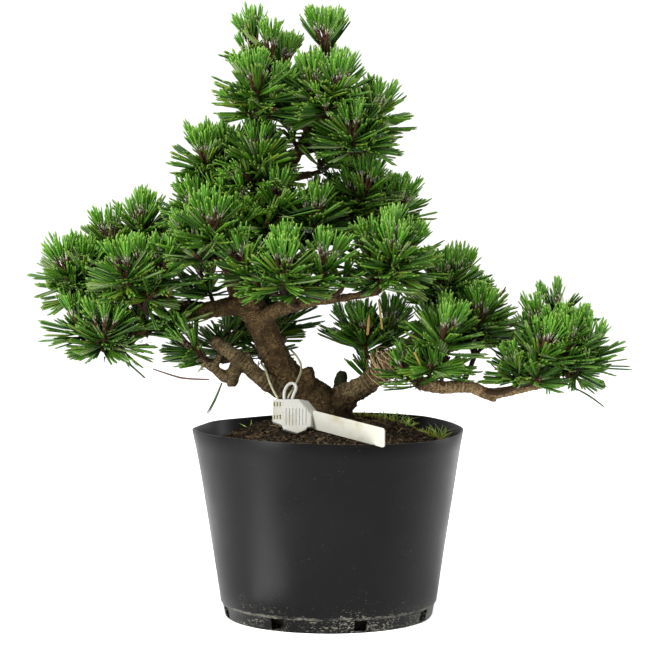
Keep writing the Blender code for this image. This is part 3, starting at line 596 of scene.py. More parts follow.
# %% Pot plastic
LIME = (0.13, 0.125, 0.10)
BLACK = (0.0013, 0.0013, 0.0013)
BLOOM = (0.0036, 0.0037, 0.0038)
SPECKS_FADE_FROM = 1 * MM
SPECKS_FADE_TO = 25 * MM
SPECKS_FEWEST, SPECKS_MORE = 0.37, 0.34     # their amount high up, and how much comes to it at the foot
SEAM = (7.0 * MM, 7.5 * MM, 8.6 * MM, 9.1 * MM)     # the line of lime fades in and out over these heights


def pot_material():
    finish = Finish("pot_plastic", 0.34, 0.07)
    grain = finish.group(GRAIN, Broad=28.0, Fine=700.0)
    low = finish.band(finish.height(), SPECKS_FADE_TO, SPECKS_FADE_FROM)
    amount = finish.plus(finish.times(finish.times(low, low), SPECKS_MORE), SPECKS_FEWEST)
    specks = finish.group(SPECKS, Scale=620.0, Amount=amount)["Mask"]
    specks = finish.times(specks, finish.plus(low, 0.2, clamp=True))
    seam_foot = finish.band(finish.height(), SEAM[0], SEAM[1])
    seam_top = finish.band(finish.height(), SEAM[3], SEAM[2])
    broken = finish.group(PATCHES, Scale=210.0, Detail=5.0, Roughness=0.7, Low=0.47, High=0.6)["Mask"]
    seam = finish.times(finish.times(finish.times(seam_foot, seam_top), broken), 0.6)
    dirt = finish.math("MAXIMUM", specks, seam)
    body = finish.mix(finish.times(grain["Mottle"], 0.45), BLACK, BLOOM)
    finish.colour(finish.mix(dirt, body, LIME))
    rough = finish.plus(finish.times(grain["Mottle"], 0.12), 0.32)
    finish.feed(finish.shader["Roughness"], finish.plus(rough, finish.times(dirt, 0.4), clamp=True))
    finish.bump(grain["Height"], 0.12, 0.2 * MM)
    return finish.material


finish_piece(pot, "pot_shell", [pot_material()], ["nursery_pot"], smooth_deg=35)

# %% [markdown]
# ## The soil
#
# Loose bark-and-peat soil lies a little under the rim and rises to a low mound round the trunk. A turned
# body fills the pot, its top is roughened by a Displace modifier, and crumbs of all sizes lie on it.

# %% Soil body
GROUND_Z = 108.0
SOIL_EDGE_Z = 94.0
SOIL_RINGS = (      # radius and height, from the pot's floor up its wall and in to the trunk
    (52.8, 2.4), (57.2, 10.0), (63.9, 51.0), (70.9, 94.0), (66.0, 96.2), (62.0, 97.7), (58.0, 99.0),
    (52.0, 101.4), (45.5, 103.9), (39.0, 106.2), (33.0, 107.9), (26.0, 108.3), (19.0, 108.5),
    (12.0, 108.6), (5.0, 108.6),
)
SOIL_SIDES = 120
CLODS = ((5.0, 2.6), (1.75, 1.17))      # size and height of the clods and of the crumbs between them
SOIL_DARK = (0.003, 0.002, 0.001)
SOIL_BROWN = (0.014, 0.009, 0.005)


def roughen(thing, size, height, kind="CLOUDS", level=0.5, group="top"):
    """Displaces a mesh along its normals by a cloud or cell pattern, as much as the group's weights say."""
    texture = bpy.data.textures.new(f"{thing.name}_{kind.lower()}", kind)
    texture.noise_scale = size * MM
    apply_modifier(
        thing, "DISPLACE", texture=texture, strength=height * MM, mid_level=level,
        texture_coords="LOCAL", vertex_group=group,
    )
    bpy.data.textures.remove(texture)


def soil_height(x, y):
    """The soil's height under a point, from the rings of its section."""
    radii, heights = zip(*(ring for ring in reversed(SOIL_RINGS) if ring[1] >= SOIL_EDGE_Z))
    return np.interp(np.hypot(x, y), radii, heights)


soil = turned_shape("soil_body", SOIL_RINGS, SOIL_SIDES)
top = soil.vertex_groups.new(name="top")
top.add([v.index for v in soil.data.vertices if v.co.z > SOIL_EDGE_Z * MM + 1e-5], 1.0, "REPLACE")
for clod_size, clod_height in CLODS:
    roughen(soil, clod_size, clod_height)


def soil_material():
    finish = Finish("crumbly_soil", 0.95, 0.1)
    grain = finish.group(GRAIN, Broad=420.0, Fine=1500.0)
    finish.colour(finish.mix(grain["Mottle"], SOIL_DARK, SOIL_BROWN))
    finish.bump(grain["Height"], 0.8, 0.8 * MM)
    return finish.material


finish_piece(soil, "soil_bed", [soil_material()], ["soil"], smooth_deg=60)

# %% [markdown]
# Crumbs are short lumpy spikes of a few faces, laid flat at random. Bark chips are longer and thinner, and
# a few straws are thinner still. Three plain browns are dealt out among crumbs and chips.

# %% Crumbs and chips
CRUMB_SPREAD = 69.0
TRUNK_FOOT = np.array((0.0, 10.0))
TRUNK_FOOT_RADIUS = 14.0
TRUNK_FOOT_LITTER = 4.0     # what would lie under the trunk is moved this far round its foot
CRUMB_PROFILE = ((-0.5, 0.5), (0.0, 1.0), (0.5, 0.4))
CHIP_PROFILE = ((-0.5, 0.4), (0.1, 1.0), (0.5, 0.3))
# How many, their profile, their length, their width as a share of it, and how high they may lie.
CRUMBS = (7600, CRUMB_PROFILE, (0.8, 2.7), (0.6, 1.0), 0.5)
CHIPS = (520, CHIP_PROFILE, (3.0, 7.5), (0.16, 0.3), 1.3)
STRAWS = (70, CHIP_PROFILE, (5.0, 14.0), (0.05, 0.09), 2.0)
STRAW_SLOT = 3


def scattered(chance, count, spread):
    """Random places on the round soil, none under the trunk's foot."""
    radius = spread * np.sqrt(chance.random(count))
    angle = chance.random(count) * 2 * math.pi
    places = np.stack([radius * np.cos(angle), radius * np.sin(angle)], axis=1)
    away = places - TRUNK_FOOT
    near = np.linalg.norm(away, axis=1) < TRUNK_FOOT_RADIUS
    beside = TRUNK_FOOT_RADIUS + TRUNK_FOOT_LITTER * chance.random((near.sum(), 1))
    places[near] = TRUNK_FOOT + unit(away[near] + 1e-6) * beside
    return places


def lying_ways(chance, count, tilt):
    """Random ways that lie nearly level."""
    angle = chance.random(count) * 2 * math.pi
    rise = chance.normal(0.0, tilt, count)
    return unit(np.stack([np.cos(angle), np.sin(angle), rise], axis=1))


def litter(name, seed):
    chance = np.random.default_rng(seed)
    heap = Heap()
    for kind in (CRUMBS, CHIPS, STRAWS):
        count, profile, sizes, slimness, lift = kind
        places = scattered(chance, count, CRUMB_SPREAD)
        lengths = sizes[0] + (sizes[1] - sizes[0]) * chance.random(count) ** 2.0
        heights = soil_height(*places.T) + lift * chance.random(count)
        feet = np.column_stack([places, heights])
        widths = lengths * chance.uniform(*slimness, count)
        ways = lying_ways(chance, count, 0.35)
        sides = rolled(ways, chance.random(count) * math.pi)
        shape = spikes(feet, ways, sides, lengths, widths, profile, DIAMOND, flat=0.8)
        heap.add(shape, STRAW_SLOT if kind is STRAWS else chance.integers(0, 3, count))
    return heap.build(name, smooth=False)


finish_piece(litter("crumbs", 11), "soil_crumbs", plain_set(
    ("peat", (0.0055, 0.0040, 0.0022), 0.95, 0.1),
    ("bark_chip", (0.020, 0.0130, 0.0062), 0.9, 0.1),
    ("fibre", (0.042, 0.0270, 0.0130), 0.9, 0.1),
    ("straw", (0.150, 0.1000, 0.0450), 0.8, 0.1),
))

# %% [markdown]
# ## Moss and sprouts
#
# Behind the tag, on the right, moss and a few grassy weeds grow on the soil. Moss is a patch of tiny
# upright blades. Each sprout is a handful of thin curved ones that fan out from a point.

# %% Moss and sprouts
MOSS_PATCHES = (        # x, y, and half the size in x and y
    (33, 34, 12, 8), (47, 28, 10, 8), (60, 8, 5, 6), (24, 42, 9, 6), (-40, 38, 7, 5), (6, 46, 9, 5),
    (18, 30, 9, 8), (42, 42, 9, 6), (30, 20, 9, 6),
)
MOSS_BLADES_EACH = 400
MOSS_LENGTH = (1.6, 3.8)
MOSS_WIDTH = 0.75
SPROUTS = (             # x, y and the length of the leaves
    (40, 32, 15), (34, 27, 13), (46, 26, 12), (37, 40, 14), (28, 34, 11), (22, 38, 10), (62, 3, 16),
    (65, 9, 12), (56, 18, 9), (44, 8, 9), (-44, 36, 9),
)
SPROUT_LEAVES = 10
SPROUT_WIDTH = 1.1
BLADE_PROFILE = ((0.0, 0.9), (0.55, 0.8), (1.0, 0.12))
ROOTED = 0.3            # how deep blades and leaves stand in the soil


def upright_ways(chance, count, spread):
    """Random ways that lean more or less off the upright."""
    return unit(np.column_stack([chance.normal(0, spread, (count, 2)), np.ones(count)]))


def moss():
    chance = np.random.default_rng(23)
    heap = Heap()
    for x, y, half_x, half_y in MOSS_PATCHES:
        across = x + half_x * chance.normal(0, 0.5, MOSS_BLADES_EACH)
        places = np.column_stack([across, y + half_y * chance.normal(0, 0.5, MOSS_BLADES_EACH)])
        places = places[np.hypot(*places.T) < CRUMB_SPREAD]
        count = len(places)
        feet = np.column_stack([places, soil_height(*places.T) - ROOTED])
        ways = upright_ways(chance, count, 0.45)
        lengths = chance.uniform(*MOSS_LENGTH, count)
        sides = rolled(ways, chance.random(count) * math.pi)
        blades = spikes(feet, ways, sides, lengths, MOSS_WIDTH, BLADE_PROFILE)
        heap.add(blades, chance.integers(0, 2, count))
    count = SPROUT_LEAVES
    for x, y, size in SPROUTS:
        feet = np.tile([[x, y, float(soil_height(x, y)) - ROOTED]], (count, 1))
        feet = feet + np.column_stack([chance.normal(0, 0.8, (count, 2)), np.zeros(count)])
        ways = upright_ways(chance, count, 0.55)
        lengths = size * chance.uniform(0.6, 1.1, count)
        droop = np.column_stack([chance.normal(0, 0.25, (count, 2)), np.full(count, -0.25)])
        sides = rolled(ways, chance.random(count) * math.pi)
        leaves = spikes(feet, ways, sides, lengths, SPROUT_WIDTH, BLADE_PROFILE, lifts=droop, flat=0.4)
        heap.add(leaves, chance.integers(2, 4, count))
    return heap.build("moss")


finish_piece(moss(), "moss_and_sprouts", plain_set(
    ("moss_dark", (0.100, 0.096, 0.016), 0.9, 0.1),
    ("moss_light", (0.310, 0.315, 0.052), 0.9, 0.1),
    ("sprout", (0.190, 0.310, 0.036), 0.6, 0.2),
    ("sprout_pale", (0.260, 0.340, 0.075), 0.6, 0.2),
))

# %% [markdown]
# ## Trunk and boughs
#
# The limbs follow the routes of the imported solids: points of x, y, z and radius, joined by a smooth curve.
# Each row names a limb, the limb that it grows from and its points. Five low ridges spread from the foot of
# the trunk as its root flare. Short routes of their own give the two cut stubs at the fork, and the knobs
# and spurs on the lowest boughs.

# %% Routes of the limbs
TRUNK_ROUTE = (
    (0, 10, 98, 19), (-3, 10, 111, 16), (-9.5, 10, 120, 12), (-18, 8, 128, 9.2), (-28, 5, 141, 8.6),
    (-36, 2, 159, 8.2), (-44, 0, 174, 7.7), (-51, 2, 184, 6.6), (-53, 4, 196, 5.5), (-46, 7, 212, 4.7),
    (-33, 8, 233, 4.0), (-19, 5, 255, 3.3), (-9, 1, 277, 2.5), (-6, 0, 302, 1.6),
)
SHOULDER_ROUTE = ((-9, 9, 110, 11), (2, 7, 113.5, 9.2), (12, 4, 122, 7.2))
STUB_ROUTES = (
    ((-10, 6, 122, 4.6), (-10.5, 4, 131, 3.8), (-12, 2, 138, 3.3)),
    ((6, 8, 119, 4.6), (6.6, 9, 128, 4.0), (7.6, 9, 133.5, 3.4), (8.2, 9, 136, 2.0)),
)
BUTTRESS_COUNT = 5
BUTTRESS_FIRST_DEG = 200.0
BUTTRESS_REACH = 21.0
BUTTRESS_TOP = (6.0, 9.0, 5.0)      # away from the trunk's middle, up from the ground, and radius
BUTTRESS_END_RADIUS = 3.4
LIMBS = (
    ("bough_low_left", "trunk", (
        (-20, 6, 122, 6.0), (-36, -2, 131.5, 4.9), (-50, -7, 144, 4.6), (-62, -8, 153, 3.7))),
    ("bough_left", "trunk", (
        (-46, 1, 174, 7.2), (-60, -2, 172, 5.4), (-82, -9, 168.5, 4.6), (-101, -14, 161, 3.2),
        (-111, -16, 152, 2.0))),
    ("bough_front", "trunk", (
        (-38, 1, 163, 5.4), (-31, -10, 170, 4.5), (-12, -25, 176, 3.4), (8, -34, 179, 2.4),
        (27, -37, 182, 1.7))),
    ("bough_right", "trunk", (
        (8, 5.5, 121.5, 7.1), (20, 0, 128.5, 6.4), (31, -6, 138, 6.2), (38.5, -10, 146, 5.3))),
    ("branch_right_low", "bough_right", (
        (37.4, -9.4, 144.9, 4.6), (44, -14, 141, 4.6), (50, -17, 132, 4.2), (62, -18, 129.2, 3.8),
        (78, -14, 129, 3.6), (90, -12, 125, 3.5), (112, -12, 129, 2.6), (123, -11, 130.5, 2.0),
        (130, -11, 130.5, 1.6))),
    ("branch_right_up", "bough_right", (
        (34, -8, 141.5, 3.6), (45, 0, 152, 3.2), (58, 9, 162, 2.5), (63, 12, 165, 1.8))),
    ("branch_right_back", "bough_right", (
        (25, -2.5, 132, 3.6), (34, 10, 139, 3.2), (54, 27, 143, 2.4), (74, 38, 147, 1.7))),
    ("branch_left_up", "bough_left", (
        (-80, -8.4, 168.8, 3.6), (-91, -3, 178, 3.0), (-107, 1, 187, 2.3), (-124, 1, 188, 1.6))),
    ("branch_left_back", "bough_left", (
        (-66, -4, 171.2, 3.6), (-76, 10, 173, 3.0), (-92, 24, 173, 2.3), (-104, 30, 175, 1.6))),
    ("bough_mid_left", "trunk", (
        (-53, 4, 193, 4.2), (-60, -6, 198, 3.4), (-64, -18, 202, 2.5), (-65, -26, 206, 1.7))),
    ("bough_upper_left", "trunk", (
        (-38, 7.5, 225, 3.9), (-50, 0, 234, 3.0), (-58, -5, 238, 2.2), (-62, -7, 241, 1.6))),
    ("bough_upper_right", "trunk", (
        (-43, 7.3, 216, 4.2), (-28, 20, 221, 3.4), (-4, 22, 219, 2.8), (14, 18, 219, 2.2),
        (24, 15, 220.5, 1.6))),
    ("bough_top_left", "trunk", (
        (-21, 5.5, 252, 3.3), (-29, -5, 263, 2.6), (-36, -14, 275, 2.1), (-38, -13, 292, 1.6))),
    ("bough_top_right", "trunk", (
        (-16, 4, 260, 3.2), (-4, -1, 262, 2.8), (9, -7, 264, 2.2), (17, -11, 267, 1.6))),
    ("bough_back_low", "trunk", (
        (-31, 4, 146, 5.0), (-30, 22, 150, 3.8), (-26, 38, 152, 2.6))),
    ("bough_back_mid", "trunk", (
        (-52, 3, 190, 4.4), (-52, 20, 193, 3.4), (-51, 38, 196, 2.6), (-48, 52, 199, 1.8))),
    ("bough_back_upper", "trunk", (
        (-27, 7, 242, 3.6), (-20, 22, 245, 2.8), (-10, 36, 247, 2.0))),
)
# Knobs and short spurs: all are on the lowest left bough but for the fourth, which is under the right one.
KNOB_ROUTES = (
    ((-49, -6, 143, 4.2), (-52.5, -8, 137, 4.1), (-53.5, -8.5, 130.5, 3.4), (-53.5, -8.5, 128.5, 2.2)),
    ((-60, -8, 151, 3.7), (-63.5, -8, 154, 3.5), (-65, -8, 155.5, 2.4)),
    ((-44, -4, 138, 3.0), (-45, -6, 145.5, 2.2), (-45, -6.5, 147, 1.2)),
    ((85, -12, 125.5, 2.7), (91, -12.5, 122.6, 2.3), (93, -12.5, 121.8, 1.3)),
    ((-53, -8, 133, 3.0), (-58, -9, 134.5, 3.7), (-62, -9, 137.5, 2.7), (-65, -9, 140.5, 3.4),
     (-69, -9, 142.5, 2.6), (-71, -9, 146, 3.2), (-73, -9, 150, 2.0)),
    ((-64, -9, 140, 2.4), (-61, -10, 144.5, 2.0), (-60.5, -10, 147, 1.5)),
)


def smooth_route(points, steps):
    """A Catmull-Rom curve through the points, with all of their numbers blended alike."""
    points = [np.array(point, dtype=float) for point in points]
    route = []
    for index in range(len(points) - 1):
        before = points[max(index - 1, 0)]
        start, end = points[index], points[index + 1]
        after = points[min(index + 2, len(points) - 1)]
        for step in range(steps):
            t = step / steps
            bend = 2 * before - 5 * start + 4 * end - after
            twist = 3 * start - before - 3 * end + after
            route.append(start + 0.5 * (t * (end - before) + t * t * bend + t**3 * twist))
    route.append(points[-1])
    return route


def buttress_routes():
    """The ridges of the root flare, each from high on the trunk to a point under the soil."""
    foot = np.array(TRUNK_ROUTE[1][:2])
    for index in range(BUTTRESS_COUNT):
        angle = math.radians(BUTTRESS_FIRST_DEG + index * 360.0 / BUTTRESS_COUNT)
        way = np.array((math.cos(angle), math.sin(angle)))
        yield tuple(
            (*(foot + distance * way), GROUND_Z + height, radius)
            for distance, height, radius in (
                BUTTRESS_TOP, (0.75 * BUTTRESS_REACH, 1.5, 0.95 * BUTTRESS_END_RADIUS),
                (1.15 * BUTTRESS_REACH, -3.0, 0.7 * BUTTRESS_END_RADIUS),
            )
        )


print(len(LIMBS), "limbs besides the trunk, with", len(KNOB_ROUTES), "knobs and spurs")

# %% [markdown]
# Each limb becomes a bevelled curve with a point every millimetre or so. Its radius wavers, and on the old
# boughs it also rises and falls from scar to scar. One remesh then melts all limbs into a single skin, so
# that they grow into each other like wood.

# %% One skin for all limbs
RING_SPACING = 1.7      # between the old scars across a bough
RING_DEPTH = 0.03       # as a share of the radius, as are the others here
RING_JITTER = 0.6
WAVER, WAVER_LENGTH, WAVER_JITTER = 0.02, 9.0, 0.015
POINT_SPACING = 1.1
LIMB_BEVEL = 5          # the bevel resolution, for a section of 14 sides
SKIN_VOXEL = 0.68
RINGED = {"bough_low_left", "bough_right", "branch_right_low", "branch_right_up", "branch_right_back"}


def curve_tube(name, places, depth, resolution, radii=None, closed=False):
    """A bevelled curve through the places. The radii are factors on the bevel's depth."""
    curve = bpy.data.curves.new(name, "CURVE")
    curve.dimensions = "3D"
    curve.bevel_depth = depth
    curve.bevel_resolution = resolution
    curve.use_fill_caps = not closed
    spline = curve.splines.new("POLY")
    spline.use_cyclic_u = closed
    spline.points.add(len(places) - 1)
    for index, (point, place) in enumerate(zip(spline.points, places)):
        point.co = (*(place * MM), 1.0)
        point.radius = radii[index] if radii else 1.0
    thing = bpy.data.objects.new(name, curve)
    bpy.context.scene.collection.objects.link(thing)
    return thing


def limb_tube(name, stations, ringed, chance):
    """A bevelled curve along a limb, with a point about every millimetre."""
    rough = smooth_route(stations, 8)
    length = sum(np.linalg.norm(b[:3] - a[:3]) for a, b in zip(rough, rough[1:]))
    steps = max(4, int(length / POINT_SPACING / (len(stations) - 1)))
    route = smooth_route(stations, steps)
    radii, walked = [], 0.0
    for index, (*_, radius) in enumerate(route):
        if index:
            walked += float(np.linalg.norm(route[index][:3] - route[index - 1][:3]))
        swell = WAVER * math.sin(walked / WAVER_LENGTH + len(name))
        swell += about(chance, WAVER_JITTER)
        if ringed:
            wave = math.sin(2 * math.pi * walked / RING_SPACING)
            swell += RING_DEPTH * (wave + about(chance, RING_JITTER))
        radii.append(radius * (1.0 + swell))
    return curve_tube(name, [point[:3] for point in route], MM, LIMB_BEVEL, radii)


def limb_tubes():
    chance = random.Random("limbs")
    routes = [("stem", TRUNK_ROUTE, False), ("shoulder", SHOULDER_ROUTE, False)]
    routes += [(f"stub_{i}", stub, False) for i, stub in enumerate(STUB_ROUTES)]
    routes += [(f"root_{i}", root, False) for i, root in enumerate(buttress_routes())]
    routes += [(f"knob_{i}", knob, True) for i, knob in enumerate(KNOB_ROUTES)]
    routes += [(name, stations, name in RINGED) for name, _, stations in LIMBS]
    return [limb_tube(name, stations, ringed, chance) for name, stations, ringed in routes]


tubes = limb_tubes()
pick(*tubes)
bpy.ops.object.convert(target="MESH")
bark = join(tubes, "bark")
bark.data.remesh_voxel_size = SKIN_VOXEL * MM
bpy.ops.object.voxel_remesh()
apply_modifier(bark, "SMOOTH", factor=0.5, iterations=2)
print("skin", len(bark.data.polygons), "faces")

# %% [markdown]
# The relief is made in three sizes: broad lumps, then flakes a couple of millimetres across, then grain.
# The flakes come from the cell texture, which leaves narrow fissures between plates. Thin twigs get less
# relief than the trunk, by a vertex group that follows the limb's thickness.

# %% Bark relief
ROUGH, SCARRED, WEATHERED, MOSSY = range(4)     # the kinds of bark
KNOB_BARKS = (SCARRED, SCARRED, SCARRED, WEATHERED, SCARRED, SCARRED)
POINTS_AT_ONCE = 4000
THINNEST, THICKEST = 1.0, 8.0       # the relief grows between these radii, from its least share
LEAST_RELIEF = 0.4
RELIEFS = (         # the pattern's size and height, its kind, and the level that stays where it is
    (9.0, 1.6, "CLOUDS", 0.5), (2.6, -1.5, "VORONOI", 0.25), (1.3, 0.9, "CLOUDS", 0.5),
)


def bark_kinds():
    """Every route of a limb with its kind of bark."""
    for name, _, stations in LIMBS:
        kind = WEATHERED if name == "branch_right_low" else SCARRED if name in RINGED else ROUGH
        yield smooth_route(stations, 6), kind
    yield smooth_route(TRUNK_ROUTE, 8), ROUGH
    yield smooth_route(SHOULDER_ROUTE, 4), ROUGH
    for route in buttress_routes():
        yield smooth_route(route, 3), ROUGH
    for route, kind in zip(STUB_ROUTES, (ROUGH, MOSSY)):
        yield smooth_route(route[1:], 3), kind
    for route, kind in zip(KNOB_ROUTES, KNOB_BARKS):
        yield smooth_route(route, 3), kind


def nearest_limb(points):
    """For each point, the nearest limb's radius, its kind of bark and the place along it, in mm."""
    stations, kinds, walked, ways = [], [], [], []
    for route, kind in bark_kinds():
        route = np.array(route)
        steps = np.linalg.norm(np.diff(route[:, :3], axis=0), axis=1)
        stations.append(route)
        kinds.append(np.full(len(route), kind))
        walked.append(np.concatenate([[0.0], np.cumsum(steps)]))
        ways.append(unit(np.gradient(route[:, :3], axis=0)))
    stations, kinds, walked, ways = (np.concatenate(part) for part in (stations, kinds, walked, ways))
    nearest = np.zeros(len(points), int)
    for start in range(0, len(points), POINTS_AT_ONCE):
        block = slice(start, start + POINTS_AT_ONCE)
        apart = np.linalg.norm(points[block, None] - stations[None, :, :3], axis=2) - stations[None, :, 3]
        nearest[block] = apart.argmin(axis=1)
    ahead = ((points - stations[nearest, :3]) * ways[nearest]).sum(axis=1)
    return stations[nearest, 3], kinds[nearest], walked[nearest] + ahead


bark_radii, _, _ = nearest_limb(np.array([vertex.co for vertex in bark.data.vertices]) / MM)
thick = bark.vertex_groups.new(name="thick")
weights = np.clip((bark_radii - THINNEST) / (THICKEST - THINNEST), LEAST_RELIEF, 1.0)
for index, weight in enumerate(weights):
    thick.add([index], float(weight), "REPLACE")
for size, height, kind, level in RELIEFS:
    roughen(bark, size, height, kind, level, "thick")
print("relief weights from", round(float(weights.min()), 2), "to", round(float(weights.max()), 2))

# %% [markdown]
# The bark has four finishes. The trunk is rough and brown with dark pits. The lower boughs are grey-brown
# and ringed by old scars, and the lowest right branch is the same, bleached to tan. A short stub is green
# with moss. The scars run across a bough whichever way it turns, so each point of the skin keeps its place
# along its limb in an attribute, and a one-way noise on that place makes the rings.

# %% Bark finish
BARK_DARK = (0.0045, 0.0028, 0.0012)
BARKS = (      # name, dark, brown, pale, the share of pale, and the strength of the rings
    ("pine_bark", BARK_DARK, (0.044, 0.0260, 0.0088), (0.130, 0.085, 0.034), 0.85, 0.0),
    ("scarred_bark", (0.009, 0.0058, 0.0023), (0.043, 0.0280, 0.0100), (0.170, 0.128, 0.064), 0.85, 0.42),
    ("weathered_bark", (0.020, 0.0120, 0.0045), (0.100, 0.0620, 0.0240), (0.300, 0.215, 0.115), 0.85, 0.42),
    ("mossy_bark", (0.003, 0.0030, 0.0010), (0.010, 0.0120, 0.0035), (0.026, 0.033, 0.009), 0.6, 0.0),
)
PIT_SCALE, PIT_RIM, PIT_MIDDLE = 640.0, 0.34, 0.12
RING_SCALE, RING_WAVER = 0.75, 3.0      # how close the rings are, and how far they wander, in mm
DARK_FOOT_FROM = 108 * MM     # the bark is darkest at the trunk's foot, here, and has its own colours from the next height up
DARK_FOOT_TO = 132 * MM


def make_bark_group():
    """Bark marks: small round pits, and rings across the limb from a noise that runs along it only."""
    group = Group("bark_marks", {"Pit Scale": PIT_SCALE, "Ring Scale": RING_SCALE}, ["Pits", "Rings"])
    place = group.place()
    cells = group.node("TexVoronoi", ("Vector", "Scale"), (place, group.start["Pit Scale"]))
    group.feed(group.end["Pits"], group.band(cells.outputs["Distance"], PIT_RIM, PIT_MIDDLE))
    walked = group.node("Attribute", attribute_name="ring_place").outputs["Fac"]
    walked = group.plus(walked, group.times(group.noise(place, 150.0, detail=2.0), RING_WAVER))
    rings = group.node("TexNoise", noise_dimensions="1D")
    for label, value in (("W", walked), ("Scale", group.start["Ring Scale"]), ("Detail", 2.0)):
        group.feed(rings.inputs[label], value)
    group.feed(group.end["Rings"], group.band(rings.outputs["Fac"], 0.50, 0.64))
    return group.tree


BARK_MARKS = make_bark_group()


def bark_material(name, dark, brown, pale, pale_share, ring_strength):
    finish = Finish(name, 0.9, 0.12)
    grain = finish.group(GRAIN, Broad=420.0, Fine=1500.0)
    patches = finish.group(PATCHES, Scale=130.0, Detail=3.0, Low=0.40, High=0.60)["Mask"]
    flecks = finish.group(PATCHES, Scale=900.0, Detail=5.0, Roughness=0.7, Low=0.44, High=0.60)["Mask"]
    marks = finish.group(BARK_MARKS)
    base = finish.mix(grain["Mottle"], dark, brown)
    base = finish.mix(finish.times(flecks, 0.75), base, brown)
    base = finish.mix(finish.times(finish.times(patches, flecks), pale_share), base, pale)
    if ring_strength:
        base = finish.mix(finish.times(marks["Rings"], ring_strength), base, pale)
    else:
        base = finish.mix(finish.times(marks["Pits"], 0.75), base, dark)
    # The bark is made darker towards the trunk's foot, blended by height towards the darkest bark brown.
    foot_darkening = finish.band(finish.height(), DARK_FOOT_TO, DARK_FOOT_FROM)
    finish.colour(finish.mix(finish.times(foot_darkening, 0.7), base, BARK_DARK))
    finish.bump(finish.plus(grain["Height"], finish.times(flecks, 0.5)), 0.7, 0.6 * MM)
    return finish.material


_, _, walked_mm = nearest_limb(np.array([vertex.co for vertex in bark.data.vertices]) / MM)
ring_place = bark.data.attributes.new("ring_place", "FLOAT", "POINT")
ring_place.data.foreach_set("value", walked_mm.astype(np.float32))
_, face_kinds, _ = nearest_limb(np.array([polygon.center for polygon in bark.data.polygons]) / MM)
bark.data.materials.clear()
bark.data.polygons.foreach_set("material_index", face_kinds.astype(np.int32))
limb_nodes = ["trunk", *(name for name, _, _ in LIMBS)]
finish_piece(bark, "bark_skin", [bark_material(*row) for row in BARKS], limb_nodes, smooth_deg=80)
print("faces of each bark:", np.bincount(face_kinds, minlength=4))

# %% [markdown]
# ## The pads of needles
#
# A pad is a short stem with two to five tufts. The rule that spreads a pad's tufts is the one that the
# solids were grown by. Each row names the pad, the limb that it grows from and how far along, the middle
# of its tufts' feet, half its width and depth, its dome, its number of tufts and its turn. A second table
# then trains single tufts a little away from the even rule, as the grower of the real tree has done.

